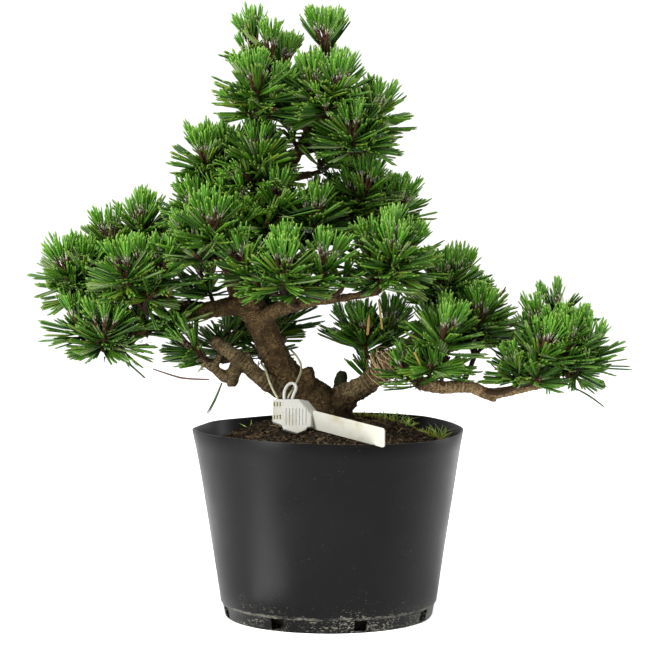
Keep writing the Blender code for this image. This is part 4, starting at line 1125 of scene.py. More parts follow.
# %% Pads and the growing rule
PADS = (
    ("top_peak", "trunk", 1.0, (-5, 0, 311), (4, 7), 0, 2, 80),
    ("top_west", "bough_top_left", 1.0, (-34, -8, 309), (9, 8), 0, 3, 30),
    ("top_left", "bough_top_left", 0.5, (-38, -25, 285), (9, 8), 0, 3, 150),
    ("top_mid", "trunk", 0.9, (-2, -24, 289), (10, 8), 0, 3, 200),
    ("top_right", "bough_top_right", 1.0, (14, -15, 270), (11, 11), 4, 4, 10),
    ("top_back", "trunk", 0.86, (-14, 27, 288), (14, 9), 0, 3, 90),
    ("crown_back", "bough_back_upper", 1.0, (8, 44, 260), (16, 11), 0, 3, 30),
    ("crown_back_left", "bough_back_upper", 0.5, (-44, 36, 258), (13, 12), 0, 3, 100),
    ("shoulder_left", "bough_upper_left", 1.0, (-64, -8, 250), (9, 10), 0, 3, 0),
    ("shoulder_mid", "trunk", 0.68, (-36, -23, 249), (8, 6), 0, 2, 160),
    ("shoulder_right", "bough_upper_right", 0.72, (13, 4, 232), (9, 8), 0, 3, 80),
    ("heart_right", "trunk", 0.56, (-11, -16, 221), (11, 9), 0, 3, 40),
    ("east_tip", "bough_upper_right", 1.0, (31, 10, 229), (5, 9), 0, 3, 90),
    ("west_high", "bough_mid_left", 0.5, (-68, -19, 220), (9, 9), 0, 3, 210),
    ("west_crown", "bough_mid_left", 1.0, (-63, -39, 204), (10, 8), 0, 3, 270),
    ("west_inner", "trunk", 0.515, (-36, -28, 222), (8, 8), 0, 2, 0),
    ("front", "bough_front", 0.42, (-24, -50, 187), (19, 11), 4, 5, 0),
    ("east", "bough_front", 1.0, (33, -34, 194), (11, 10), 4, 4, 30),
    ("far_left_tip", "branch_left_up", 1.0, (-137, -4, 187), (6, 11), 0, 3, 90),
    ("left_crest", "branch_left_up", 0.6, (-103, 5, 210), (9, 9), 0, 3, 0),
    ("left_mid", "bough_left", 0.62, (-103, -34, 182), (11, 10), 3, 4, 0),
    ("left_low", "bough_left", 1.0, (-121, -24, 155), (11, 11), 3, 4, 60),
    ("low_left", "bough_low_left", 0.75, (-62, -15, 138), (10, 9), 0, 3, 0),
    ("left_back", "branch_left_back", 1.0, (-112, 36, 184), (15, 11), 3, 4, 20),
    ("right_upper", "branch_right_up", 1.0, (67, 14, 180), (10, 9), 0, 3, 0),
    ("right_front", "branch_right_low", 0.13, (54, -33, 151), (9, 7), 0, 3, 90),
    ("right_mid", "branch_right_low", 0.42, (92, -2, 158), (9, 9), 0, 3, 60),
    ("right_low", "branch_right_low", 0.55, (98, -27, 138), (10, 7), 0, 2, 10),
    ("right_crest", "branch_right_low", 0.78, (123, 0, 160), (8, 9), 0, 3, 90),
    ("right_tip", "branch_right_low", 1.0, (137, -12, 141), (9, 9), 2, 4, 0),
    ("under_right", "branch_right_back", 0.3, (20, 18, 148), (11, 9), 0, 3, 0),
    ("right_back", "branch_right_back", 1.0, (85, 46, 158), (15, 10), 3, 4, 15),
    ("right_far_back", "branch_right_low", 0.66, (117, 29, 150), (11, 9), 0, 3, 0),
    ("back_low", "bough_back_low", 1.0, (-24, 48, 163), (16, 9), 3, 4, 0),
    ("back_left", "bough_back_mid", 0.5, (-84, 42, 216), (12, 11), 0, 3, 0),
    ("back_mid", "bough_back_mid", 1.0, (-40, 62, 206), (17, 10), 4, 4, 0),
    ("back_high", "bough_upper_right", 0.5, (22, 50, 217), (15, 11), 4, 4, 40),
)
TUFT_LEAN_DEG = 15.0        # outwards, and none for a tuft in the middle
TUFT_LEAN_JITTER_DEG = 4.0
TUFT_SHIFT = 1.5
TUFT_LIFT = 2.5
HUB_DROP = 12.0             # from the tufts' feet down to the hub
HUB_BACK = 0.18             # from there back towards the limb, as a share of the way
STEM_SAG = 0.08             # as a share of the stem's length
STEM_RADIUS = 1.7
# For a pad's tufts by their number: mm to the right, back and up, and for some a size next to a full tuft
# and degrees of lean to the right.
TRAINED = {
    "top_peak": {0: (4, 0, 2.5, 1.0, 2), 1: (3, 0, 0, 1.0, 5)},
    "top_west": {0: (-2, 0, -11, 0.85, 0), 1: (2, 0, 0, 0.9, 2), 2: (2, 0, -4, 0.9, 2)},
    "top_left": {0: (3, 0, -1, 1.0, 4), 1: (0, 0, -4), 2: (-2, 0, -5)},
    "top_mid": {0: (4.5, 0, -6, 1.0, 4), 1: (-3, 0, -8, 1.0, -4), 2: (2, 0, -4)},
    "top_right": {0: (-1, 0, 2, 0.95, 0), 1: (0, 0, -6), 2: (2, 0, -11),
                  3: (3, 0, -13)},
    "top_back": {0: (4, 0, -4, 0.9, 0), 2: (-5, 0, -2, 1.0, -8)},
    "crown_back": {0: (-3, 0, 9), 1: (0, 0, 9), 2: (0, 0, 9)},
    "crown_back_left": {0: (5, 0, -14), 1: (0, 0, -12), 2: (-7, 0, -11, 1.0, -8)},
    "shoulder_left": {0: (-3, 0, -3, 1.0, -2), 1: (5, 0, -3, 1.0, 4), 2: (2, 0, -4)},
    "west_high": {0: (7, 0, -5)},
    "east": {0: (-3, 0, -1)},
    "shoulder_mid": {0: (5, 0, -2, 1.0, 4), 1: (-11, 0, -3, 1.0, -8)},
    "shoulder_right": {1: (10, 0, -8, 1.0, 6), 2: (-2, 0, -4)},
    "heart_right": {0: (-4, 0, -8), 2: (0, 0, -8)},
    "east_tip": {0: (-1, 0, -11), 1: (1, 0, -11), 2: (-1, 0, -11)},
    "left_crest": {0: (-11, 0, -3, 1.0, -8), 1: (2, 0, -1, 1.0, 3), 2: (-10, 0, -12)},
    "far_left_tip": {0: (-3, 0, -4, 1.0, -4), 1: (0, 0, -4, 1.0, 2), 2: (-3, 0, -4)},
    "back_left": {0: (0, 0, -6), 1: (22, 0, -9), 2: (18, 0, -12)},
    "left_back": {0: (-8, 0, -6, 1.0, -8)},
    "left_low": {0: (11, -6, 8, 0.75, 0), 1: (-3, 0, 1, 1.0, -4), 2: (-6, 0, -1, 0.95, -6)},
    "west_crown": {0: (0, 0, 5), 2: (0, 0, -6)},
    "low_left": {0: (-7, 33, 8, 0.75, -8), 1: (-2, -2, 3, 0.8, -22), 2: (-1, 3, 8, 0.85, -36)},
    "right_upper": {0: (-5, 0, -3), 1: (3, 0, -4), 2: (5, 0, -2)},
    "right_mid": {0: (-16, 0, 0), 1: (-1, 0, -2), 2: (-15, 0, -1)},
    "right_back": {0: (-15, 0, -8, 1.0, -8)},
    "right_far_back": {0: (-3, 0, -5, 0.9, 0), 1: (7, 0, -9, 0.9, 4), 2: (8, 0, -5, 0.9, 4)},
    "right_crest": {0: (6, 0, 0, 0.9, 0), 1: (3, 0, -9), 2: (5, 0, -15, 0.95, 0)},
    "right_tip": {0: (-3, 0, -3, 0.95, 0), 3: (-8, 0, 1, 1.0, -4)},
    "right_low": {0: (6, 0, 5, 0.95, 0), 1: (16, 0, -1, 0.6, 0)},
    "right_front": {0: (6, 0, 0), 1: (-3, 6, -19, 0.62, -14)},
    "under_right": {1: (3, 0, -2), 2: (8, 0, -4)},
    "back_low": {0: (-20, 0, -6, 1.0, -8), 1: (-9, 0, -7, 0.95, -6), 2: (-9, 0, -7, 0.95, -6),
                 3: (-13, 0, -4, 1.0, -6)},
}


# A tuft has its pad's name, where it starts, which way it points, its size next to a full one, and whether
# it has all of its candles.
Tuft = namedtuple("Tuft", "pad foot axis size candles", defaults=(1.0, True))


def leaning(way, lean):
    """The upright, leaning off to a way by an angle."""
    return (UP * math.cos(lean) + way * math.sin(lean)).normalized()


def middle_of(tufts):
    """The middle of the tufts' feet."""
    return sum((tuft.foot for tuft in tufts), Vector()) / len(tufts)


def ring_places(count):
    """Where a pad's tufts stand in its ring, with one in the middle from four on."""
    ring = count - 1 if count >= 4 else count
    turns = [2 * math.pi * k / ring for k in range(ring)]
    return [(math.cos(turn), math.sin(turn), 0.0) for turn in turns] + [(0.0, 0.0, 1.0)] * (count - ring)


def plan_tufts(row):
    """The tufts of one pad, spread by the ring rule and a seeded jitter."""
    name, _, _, middle, (half_x, half_y), dome, count, turn_deg = row
    chance = random.Random(name)
    turn = Matrix.Rotation(math.radians(turn_deg), 3, "Z")
    tufts = []
    for index, (x, y, height) in enumerate(ring_places(count)):
        way = turn @ Vector((x, y, 0.0))
        lift = dome * height + about(chance, TUFT_LIFT)
        shift = [about(chance, TUFT_SHIFT) for _ in range(2)]
        place = Vector((way.x * half_x + shift[0], way.y * half_y + shift[1], lift))
        jitter = about(chance, TUFT_LEAN_JITTER_DEG)
        lean = math.radians(TUFT_LEAN_DEG * (1.0 - height) + jitter)
        axis = leaning(way, lean)
        chance.random()     # keeps step with the draws that grew the solids
        right, back, up, size, lean_deg = (*TRAINED.get(name, {}).get(index, (0, 0, 0)), 1.0, 0)[:5]
        axis = Matrix.Rotation(math.radians(lean_deg), 3, "Y") @ axis
        tufts.append(Tuft(name, Vector(middle) + place + Vector((right, back, up)), axis, size))
    return tufts


def along(route, share):
    """The point at a share of a route's length, with the radius there."""
    points = [np.array(point, dtype=float) for point in route]
    lengths = [np.linalg.norm(b[:3] - a[:3]) for a, b in zip(points, points[1:])]
    left = share * sum(lengths)
    for start, end, length in zip(points, points[1:], lengths):
        if left <= length:
            break
        left -= length
    here = start + (end - start) * min(left / length, 1.0)
    return Vector(here[:3]), float(here[3])


LIMB_ROUTES = {"trunk": smooth_route(TRUNK_ROUTE, 4)}
LIMB_ROUTES.update({name: smooth_route(stations, 4) for name, _, stations in LIMBS})


def stem_route(row, tufts):
    """From inside the limb to the hub that the pad's twigs branch from, just under its tufts."""
    feet = middle_of(tufts)
    start, limb_radius = along(LIMB_ROUTES[row[1]], row[2])
    target = feet - UP * min(HUB_DROP, max(2.0, 0.6 * (feet.z - start.z)))
    hub = target.lerp(start, HUB_BACK)
    middle = start.lerp(hub, 0.5) - UP * STEM_SAG * (hub - start).length
    radius = min(STEM_RADIUS, 0.9 * limb_radius)
    return smooth_route([(*start, radius), (*middle, 0.9 * radius), (*hub, 0.8 * radius)], 6)


pads = [(row, plan_tufts(row)) for row in PADS]
print(len(pads), "pads,", sum(len(tufts) for _, tufts in pads), "tufts")

# %% [markdown]
# Finer twigs carry the rule on. Between its full tufts each pad also has small side tufts, which lean
# well out and fill the pad's flat underside, as the older shoots do on the real tree. A few more tufts
# sprout from a limb itself.

# %% Side tufts
SIDE_TUFTS_PER_PAD = 3
SIDE_SIZE = 0.62
SIDE_LEAN_DEG = 58.0
SIDE_LEAN_JITTER_DEG = 10.0
SIDE_TURN_JITTER_DEG = 20.0
SIDE_DROP = 5.5
SIDE_DROP_JITTER = 1.5
SIDE_REACH = 0.5            # as a share of half the pad's width and depth
WITHOUT_SIDE_TUFTS = {"low_left", "top_west", "top_peak", "under_right"}


def side_tufts(row, tufts):
    """A pad's small tufts, which stand between its full ones and lean well out."""
    name, _, _, _, (half_x, half_y), _, _, turn_deg = row
    if name in WITHOUT_SIDE_TUFTS:
        return []
    chance = random.Random(name + " side")
    found = []
    for index in range(SIDE_TUFTS_PER_PAD):
        angle_deg = turn_deg + (index + 0.5) * 360.0 / SIDE_TUFTS_PER_PAD
        angle = math.radians(angle_deg + about(chance, SIDE_TURN_JITTER_DEG))
        way = Vector((math.cos(angle), math.sin(angle), 0.0))
        place = Vector((way.x * half_x, way.y * half_y, 0.0)) * SIDE_REACH
        place.z = -SIDE_DROP + about(chance, SIDE_DROP_JITTER)
        lean = math.radians(SIDE_LEAN_DEG + about(chance, SIDE_LEAN_JITTER_DEG))
        found.append(Tuft(name, middle_of(tufts) + place, leaning(way, lean), SIDE_SIZE, index == 0))
    return found


# The sprouted ones: limb, share of its length, foot, lean to the right in degrees, size and whether it
# has a full set of candles.
SPROUTED = (
    ("bough_left", 0.22, (-66, 9, 178), -12, 0.85, True),
    ("bough_left", 0.36, (-79, 12, 177), 8, 0.9, False),
    ("bough_left", 0.62, (-84, -15, 162), -8, 0.75, False),
    ("bough_left", 0.8, (-100, -16, 158), 20, 0.75, False),
    ("bough_back_low", 0.75, (-60, 26, 143), -14, 1.0, False),
    ("bough_back_low", 0.85, (-39, 27, 142), 4, 0.95, False),
    ("bough_front", 0.86, (27, -40, 185), 18, 0.85, False),
    ("bough_front", 0.6, (7, -40, 184), 12, 0.7, False),
    ("bough_top_right", 0.3, (-5, -3, 250), 36, 0.7, False),
    ("bough_top_right", 0.6, (6, -6, 258), 20, 0.6, False),
    ("trunk", 0.86, (-18, -4, 262), -24, 0.5, True),
    ("branch_right_back", 0.12, (23, 12, 130), 2, 0.45, True),
    ("branch_right_low", 0.2, (49, -24, 130.5), 2, 0.6, False),
    ("bough_top_left", 0.95, (-43, -8, 305), -10, 0.6, True),
    ("branch_right_low", 0.34, (62, -23, 134), 6, 0.8, False),
)


RIGHT = Vector((1.0, 0.0, 0.0))
sprouted = [
    (row, Tuft(row[0], Vector(row[2]), leaning(RIGHT, math.radians(row[3])), *row[4:])) for row in SPROUTED
]
extra = {row[0]: side_tufts(row, tufts) for row, tufts in pads}
all_tufts = [tuft for _, tufts in pads for tuft in tufts] + [tuft for _, tuft in sprouted]
all_tufts += [tuft for tufts in extra.values() for tuft in tufts]
print(len(all_tufts), "tufts with the small and the sprouted ones")

# %% [markdown]
# ## Twigs
#
# Stems and twigs are knobbly, because every old needle leaves a bump. Each is a tube of a few sides with
# a wavering radius.

# %% Twigs
TWIG_SIDES = 6
KNOBBLE = 0.16
KNEE_DROP = 2.0             # a twig reaches its tuft from this far under its foot
TWIG_INTO_TUFT = 10.54      # how far a twig runs up inside a full tuft
HUB_RADIUS, TWIG_RADIUS, FOOT_RADIUS, TIP_RADIUS = 1.1, 0.95, 1.2, 0.9
SPROUT_RADIUS, SPROUT_SAG = 1.5, 1.5


def into_tuft(tuft):
    """The last two stations of a tuft's twig, at its foot and inside it."""
    tip = tuft.foot + tuft.axis * (TWIG_INTO_TUFT * tuft.size)
    return (*tuft.foot, FOOT_RADIUS), (*tip, TIP_RADIUS)


def tube_shape(route, sides, chance):
    """Points and faces of a closed knobbly tube along points of x, y, z and radius."""
    route = np.array(route, dtype=float)
    ways = unit(np.gradient(route[:, :3], axis=0))
    side = square_to(ways[:1])[0][0]
    points = []
    for way, (x, y, z, radius) in zip(ways, route):
        side = side - way * (side @ way)
        side = side / np.linalg.norm(side)
        up = np.cross(way, side)
        for corner in range(sides):
            angle = 2 * math.pi * corner / sides
            reach = radius * (1.0 + about(chance, KNOBBLE))
            points.append(np.array((x, y, z)) + reach * (side * math.cos(angle) + up * math.sin(angle)))
    return np.array(points), *tube_faces(len(route), sides)


def twigs():
    """Every pad's stem and the twigs from its hub into its tufts, and the twigs of the sprouted tufts."""
    chance = random.Random("twigs")
    heap = Heap()
    for row, tufts in pads:
        stem = stem_route(row, tufts)
        heap.add(tube_shape(stem, TWIG_SIDES, chance), 0)
        hub = Vector(stem[-1][:3])
        for tuft in [*tufts, *extra[row[0]]]:
            knee = hub.lerp(tuft.foot - tuft.axis * KNEE_DROP, 0.6)
            stations = [(*hub, HUB_RADIUS), (*knee, TWIG_RADIUS), *into_tuft(tuft)]
            heap.add(tube_shape(smooth_route(stations, 4), TWIG_SIDES, chance), 1)
    for (limb, share, *_), tuft in sprouted:
        start, _ = along(LIMB_ROUTES[limb], share)
        knee = start.lerp(tuft.foot, 0.6) - UP * SPROUT_SAG
        stations = [(*start, SPROUT_RADIUS), (*knee, FOOT_RADIUS), *into_tuft(tuft)]
        heap.add(tube_shape(smooth_route(stations, 4), TWIG_SIDES, chance), 0)
    return heap.build("twigs")


finish_piece(twigs(), "twig_wood", plain_set(
    ("stem_bark", (0.024, 0.0150, 0.0070), 0.9, 0.1),
    ("twig_bark", (0.015, 0.0085, 0.0045), 0.9, 0.1),
))

# %% [markdown]
# ## Needles
#
# Needles grow in pairs. The old ones lie in small bundles that point the same way, and fan out level from
# the foot of a tuft, dark green with paler blunt tips. From the middle rise four to six candles, this
# year's bare brown shoots. Each carries a flat-topped brush of bright young pairs, which are still closed
# and look like one broad blade, with a whitish sheath at its foot. Directions step by the golden angle, so
# that no two line up.

# %% Needle rules
FULL_TURN = 6.28
GOLDEN = math.radians(137.508)
FOOT_OUT = 0.8                      # from a shoot's middle to the feet that stand on it
CLUMPS, PAIRS_IN_CLUMP = 15, 3      # in a full tuft
OLD_LENGTH, OLD_WIDTH = 25.5, 1.6
OLD_SHORTEST = 0.45                 # the share of that length that even the smallest tuft has
OLD_LENGTHS = (0.84, 1.05)
OLD_FAN_DEG = (98.0, 52.0)          # for the lowest and the highest needles, as in the next lines
OLD_HEIGHTS = (0.5, 8.0)
OLD_SHORTER = (1.0, 0.78)
OLD_LEAN_JITTER_DEG = (5.0, 4.5)    # for a clump, and for each pair in it
OLD_TURN_JITTER, OLD_HEIGHT_JITTER = 0.16, 0.7
OLD_LIFT = 0.10
PAIR_SPREAD_DEG = 3.2
CANDLES = (4, 6)                    # in a large tuft
FEW_CANDLES = ((0.7, 2), (0.8, 3))  # up to which size a tuft has how many
CANDLE_FOOT = 5.0
CANDLE_LENGTH, CANDLE_WIDTH = (13.5, 18.0), 2.2
CANDLE_LEAN_DEG = (8.0, 24.0)
CANDLE_TURN_JITTER = 0.25
CANDLE_BARE = 0.64                  # the share of a candle below its blades
CANDLE_SHORTEST = 0.4               # as OLD_SHORTEST, and for a candle's number of blades too
MIDDLE_LEAN = 0.3                   # how much of its lean the first candle keeps
BUD_LENGTH = 0.5                    # how much of its length a bud keeps, in a tuft without candles
BLADES = 11
BLADE_LENGTH, BLADE_WIDTH, BLADE_FLAT = 12.8, 1.6, 0.55
BLADE_FAN_DEG = (21.0, 3.0)
BLADE_LEAN_JITTER_DEG, BLADE_TURN_JITTER = 5.0, 0.2
BLADE_LENGTHS, BLADE_WIDTHS = (0.8, 1.05), (0.85, 1.1)
BLADE_OUT = 0.6
BLADE_SHORTER = (1.0, 0.88)
SHEATH_LENGTH, SHEATH_WIDTH, SHEATH_LENGTHS = 2.6, 1.6, (0.7, 1.3)
# A pad's underside is flat: no old needle points further down than this, as the rise for each mm.
UNDERSIDE = -0.14
UNDERSIDES = {
    "low_left": -0.15, "under_right": 0.34, "right_upper": 0.1, "back_low": 0.02, "right_mid": -0.05,
    "right_low": -0.05, "left_low": -0.38, "left_mid": -0.3, "far_left_tip": -0.4, "right_tip": -0.4,
    "east": -0.35, "front": -0.2, "branch_right_back": 0.7,
}
UNDERSIDE_JITTER = 0.05
# A gardener has thinned these pads, and only needles that rise more than this are left.
STEEP_ONLY = {"top_west": 0.6, "top_peak": 0.68}
STRAYS = 0.04
# The profiles list shares of length and of width.
OLD_PROFILE = ((0.0, 0.45), (0.4, 1.0), (0.94, 0.85), (1.0, 0.4))
YOUNG_PROFILE = ((0.0, 0.5), (0.3, 1.0), (0.9, 0.8), (1.0, 0.3))
SHEATH_PROFILE = ((0.0, 1.0), (1.0, 0.8))
CANDLE_PROFILE = ((-0.2, 1.0), (0.45, 0.95), (0.85, 0.8), (1.0, 0.3))
SCALE_PROFILE = ((0.0, 1.0), (1.0, 0.15))
OLD_FLAT, SCALE_FLAT = 0.8, 0.4


def scaled(size, least):
    """How large a part is in a tuft of this size, where even the smallest tuft has the least share."""
    return least + (1.0 - least) * size


def fanned(axes, azimuths, leans):
    """Ways that lean off their axes at the given azimuths, the outward vectors, and the sides."""
    side, up = square_to(axes)
    out = side * np.cos(azimuths)[:, None] + up * np.sin(azimuths)[:, None]
    ways = axes * np.cos(leans)[:, None] + out * np.sin(leans)[:, None]
    return ways, out, np.cross(axes, out)


def paired(ways, sides):
    """Each way twice, turned a little to either side, with the sides that belong to them."""
    swing = math.radians(PAIR_SPREAD_DEG)
    both = unit(np.stack([ways + sides * swing, ways - sides * swing], axis=1).reshape(-1, 3))
    return both, squared(np.repeat(sides, 2, axis=0), both)


def squared(sides, ways):
    """The sides, turned so that they stand square to the ways again."""
    return unit(sides - ways * (sides * ways).sum(axis=1, keepdims=True))


def levelled(tuft, ways, sides, chance):
    """Turns needles that would hang back up to the pad's flat underside, all but a few strays."""
    count = len(ways)
    lowest = UNDERSIDES.get(tuft.pad, UNDERSIDE) + chance.normal(0, UNDERSIDE_JITTER, count)
    lowest[chance.random(count) < STRAYS] = -1.0
    ways = unit(np.column_stack([ways[:, :2], np.maximum(ways[:, 2], lowest)]))
    return ways, squared(sides, ways)


def still_there(tuft, ways):
    """Which old needles are left: in thinned pads the steep ones, and always the five steepest.

    The front tufts of the lowest left pad have none that point right, across the bough's end.
    """
    rise = ways[:, 2]
    left = rise > min(STEEP_ONLY.get(tuft.pad, -1.0), np.sort(rise)[-6])
    if tuft.pad == "low_left" and tuft.foot.y < 10:
        left &= ways[:, 0] < 0.1
    return left


def old_needles(tuft, chance):
    """A tuft's old pairs: their feet, ways, sides and lengths."""
    clumps = max(3, round(CLUMPS * tuft.size))
    share = np.repeat((np.arange(clumps) + 0.5) / clumps, PAIRS_IN_CLUMP)
    azimuth = np.repeat(GOLDEN * np.arange(clumps) + chance.random() * FULL_TURN, PAIRS_IN_CLUMP)
    clump_jitter, jitter = OLD_LEAN_JITTER_DEG
    lean = np.interp(share, (0, 1), OLD_FAN_DEG)
    lean += np.repeat(chance.normal(0, clump_jitter, clumps), PAIRS_IN_CLUMP)
    count = len(share)
    lean += chance.normal(0, jitter, count)
    axes = np.tile(np.array(tuft.axis), (count, 1))
    ways, out, sides = fanned(axes, azimuth + chance.normal(0, OLD_TURN_JITTER, count), np.radians(lean))
    ways, sides = levelled(tuft, ways, sides, chance)
    heights = np.interp(share, (0, 1), OLD_HEIGHTS) * tuft.size + chance.normal(0, OLD_HEIGHT_JITTER, count)
    feet = np.array(tuft.foot) + axes * heights[:, None] + out * FOOT_OUT
    lengths = OLD_LENGTH * scaled(tuft.size, OLD_SHORTEST) * np.interp(share, (0, 1), OLD_SHORTER)
    return feet, ways, sides, lengths * chance.uniform(*OLD_LENGTHS, count)


def candles_of(tuft, chance):
    """The feet, ways and lengths of a tuft's candles, the first of them nearly upright."""
    few = [number for size, number in FEW_CANDLES if tuft.size <= size]
    count = few[0] if few else int(chance.integers(CANDLES[0], CANDLES[1] + 1))
    azimuths = chance.random() * FULL_TURN + np.arange(count) * 2 * math.pi / count
    azimuths += chance.normal(0, CANDLE_TURN_JITTER, count)
    leans = np.radians(chance.uniform(*CANDLE_LEAN_DEG, count))
    leans[0] *= MIDDLE_LEAN
    axes = np.tile(np.array(tuft.axis), (count, 1))
    ways, out, _ = fanned(axes, azimuths, leans)
    feet = np.array(tuft.foot) + axes * (CANDLE_FOOT * tuft.size) + out * FOOT_OUT
    lengths = chance.uniform(*CANDLE_LENGTH, count) * scaled(tuft.size, CANDLE_SHORTEST)
    if not tuft.candles:
        return feet[:1], ways[:1], lengths[:1] * BUD_LENGTH
    return feet, ways, lengths


def young_blades(foot, way, length, size, chance):
    """The feet, ways, sides and lengths of the young pairs on one candle."""
    count = round(BLADES * scaled(size, CANDLE_SHORTEST))
    share = (np.arange(count) + 0.5) / count
    axes = np.tile(way, (count, 1))
    lean = np.interp(share, (0, 1), BLADE_FAN_DEG) + chance.normal(0, BLADE_LEAN_JITTER_DEG, count)
    turn = GOLDEN * np.arange(count) + chance.normal(0, BLADE_TURN_JITTER, count)
    ways, out, sides = fanned(axes, turn, np.radians(lean))
    feet = foot + axes * (length * scaled(share, CANDLE_BARE))[:, None] + out * BLADE_OUT
    lengths = BLADE_LENGTH * scaled(size, OLD_SHORTEST) * chance.uniform(*BLADE_LENGTHS, count)
    return feet, ways, sides, lengths * np.interp(share, (0, 1), BLADE_SHORTER)


def scales(foot, way, kind, count, chance):
    """Flat dry scales that stand off a shoot here and there: their shapes and their shades."""
    leans_deg, heights, lengths, width, shades = kind
    axes = np.tile(way, (count, 1))
    turns = chance.random(count) * FULL_TURN
    ways, out, sides = fanned(axes, turns, np.radians(chance.uniform(*leans_deg, count)))
    feet = foot + axes * chance.uniform(*heights, count)[:, None] + out
    lengths = chance.uniform(*lengths, count)
    shape = spikes(feet, ways, sides, lengths, width, SCALE_PROFILE, flat=SCALE_FLAT)
    return shape, chance.integers(*shades, count)


print("a full tuft has", CLUMPS * PAIRS_IN_CLUMP, "old pairs and up to", CANDLES[1], "candles")


# %% [markdown]
# No needle may grow through wood. Points along each one are measured against every stretch of trunk and
# limbs, all at once, and a needle that comes too near is left out.

# %% Which needles have room
def stretches():
    """The starts, ends and radii of all straight stretches of the limbs."""
    routes = [smooth_route(TRUNK_ROUTE, 3), smooth_route(SHOULDER_ROUTE, 2)]
    routes += [smooth_route(stub, 1) for stub in STUB_ROUTES]
    routes += [smooth_route(stations, 3) for _, _, stations in LIMBS]
    starts = np.concatenate([np.array(route)[:-1] for route in routes])
    ends = np.concatenate([np.array(route)[1:] for route in routes])
    return starts[:, :3], ends[:, :3], (starts[:, 3] + ends[:, 3]) / 2


STRETCHES = stretches()
CHECKED_SHARES = (0.4, 0.7, 1.0)    # of a needle's length
CLEARANCE = 1.0


def have_room(feet, ways, lengths, spare):
    """Whether each needle stays clear of all limbs by the spare distance."""
    starts, ends, radii = STRETCHES
    spans = ends - starts
    clear = np.ones(len(feet), bool)
    for share in CHECKED_SHARES:
        points = feet + ways * (lengths * share)[:, None]
        apart = points[:, None] - starts[None]
        along_share = np.clip((apart * spans).sum(axis=2) / (spans * spans).sum(axis=1), 0, 1)
        apart = np.linalg.norm(apart - along_share[:, :, None] * spans, axis=2)
        clear &= (apart > radii + spare).all(axis=1)
    return clear


print(len(STRETCHES[0]), "stretches of limbs to keep clear of")

# %% [markdown]
# Every tuft now adds its needles to heaps of one kind each: old needles, young blades, sheaths, candles and
# bud scales. The crown, the middle and the skirt of the tree are grown apart, so that no piece gets too
# large to handle.

# %% Grow all needles
OLD_SHADES = (0.24, 0.33, 0.23, 0.10, 0.10)     # how the five greens are dealt out
YOUNG_SHADES, OLD_TIP, YOUNG_TIP = 3, 5, 3      # a tip has a material of its own, after the shades
OLD_TIP_QUADS, YOUNG_TIP_QUADS = 3, 4
PAIR_LENGTHS = (0.95, 1.02)
CANDLE_SCALES, BRISTLES = 13, 14        # dry scales on a candle, and longer ones round a full tuft's foot
# Their leans in degrees, heights and lengths in mm, width, and the first and the end of their browns.
BRISTLE_KIND = ((60, 150), (-5.0, 4.0), (1.8, 4.6), 1.1, (1, 3))


def candle_scale_kind(length):
    """The same numbers for the scales on a candle of this length."""
    return (15, 50), (0.0, 0.75 * length), (1.2, 2.4), 0.9, (0, 2)


def add_old(heap, tuft, chance):
    feet, ways, sides, lengths = old_needles(tuft, chance)
    shades = chance.choice(len(OLD_SHADES), len(feet), p=OLD_SHADES)
    room = have_room(feet, ways, lengths, CLEARANCE) & still_there(tuft, ways)
    feet, ways, sides, lengths, shades = (part[room] for part in (feet, ways, sides, lengths, shades))
    ways, sides = paired(ways, sides)
    feet, lengths, shades = (np.repeat(part, 2, axis=0) for part in (feet, lengths, shades))
    lengths = lengths * chance.uniform(*PAIR_LENGTHS, len(feet))
    lifts = np.tile(np.array(tuft.axis) * OLD_LIFT, (len(feet), 1))
    shape = spikes(feet, ways, sides, lengths, OLD_WIDTH, OLD_PROFILE, TRIANGLE, lifts, OLD_FLAT)
    heap.add(shape, shades, OLD_TIP, OLD_TIP_QUADS)


def add_young(heaps, blades, chance):
    """Young blades with a sheath at the foot of each."""
    count = len(blades[0])
    widths = BLADE_WIDTH * chance.uniform(*BLADE_WIDTHS, count)
    shape = spikes(*blades, widths, YOUNG_PROFILE, DIAMOND, flat=BLADE_FLAT)
    heaps["young"].add(shape, chance.integers(0, YOUNG_SHADES, count), YOUNG_TIP, YOUNG_TIP_QUADS)
    lengths = SHEATH_LENGTH * chance.uniform(*SHEATH_LENGTHS, count)
    heaps["sheath"].add(spikes(*blades[:3], lengths, SHEATH_WIDTH, SHEATH_PROFILE))


def grow(tufts, seed):
    """Heaps of old needles, young blades, sheaths, candles and scales for these tufts."""
    chance = np.random.default_rng(seed)
    heaps = {kind: Heap() for kind in ("old", "young", "sheath", "candle", "scale")}
    for tuft in tufts:
        add_old(heaps["old"], tuft, chance)
        feet, ways, lengths = candles_of(tuft, chance)
        sides = rolled(ways, np.zeros(len(feet)))
        heaps["candle"].add(spikes(feet, ways, sides, lengths, CANDLE_WIDTH, CANDLE_PROFILE, HEXAGON))
        for foot, way, length in zip(feet, ways, lengths):
            if tuft.candles:
                add_young(heaps, young_blades(foot, way, length, tuft.size, chance), chance)
            heaps["scale"].add(*scales(foot, way, candle_scale_kind(length), CANDLE_SCALES, chance))
        foot, axis, count = np.array(tuft.foot), np.array(tuft.axis), int(BRISTLES * tuft.size)
        heaps["scale"].add(*scales(foot, axis, BRISTLE_KIND, count, chance))
    return heaps


STOREYS = (("crown", 215.0, 400.0), ("middle", 168.0, 215.0), ("skirt", 0.0, 168.0))    # from and to, in mm
FIRST_SEED = 7
grown = {
    storey: grow([tuft for tuft in all_tufts if low <= tuft.foot.z < high], seed)
    for seed, (storey, low, high) in enumerate(STOREYS, start=FIRST_SEED)
}
print("tufts grown in", len(grown), "storeys")

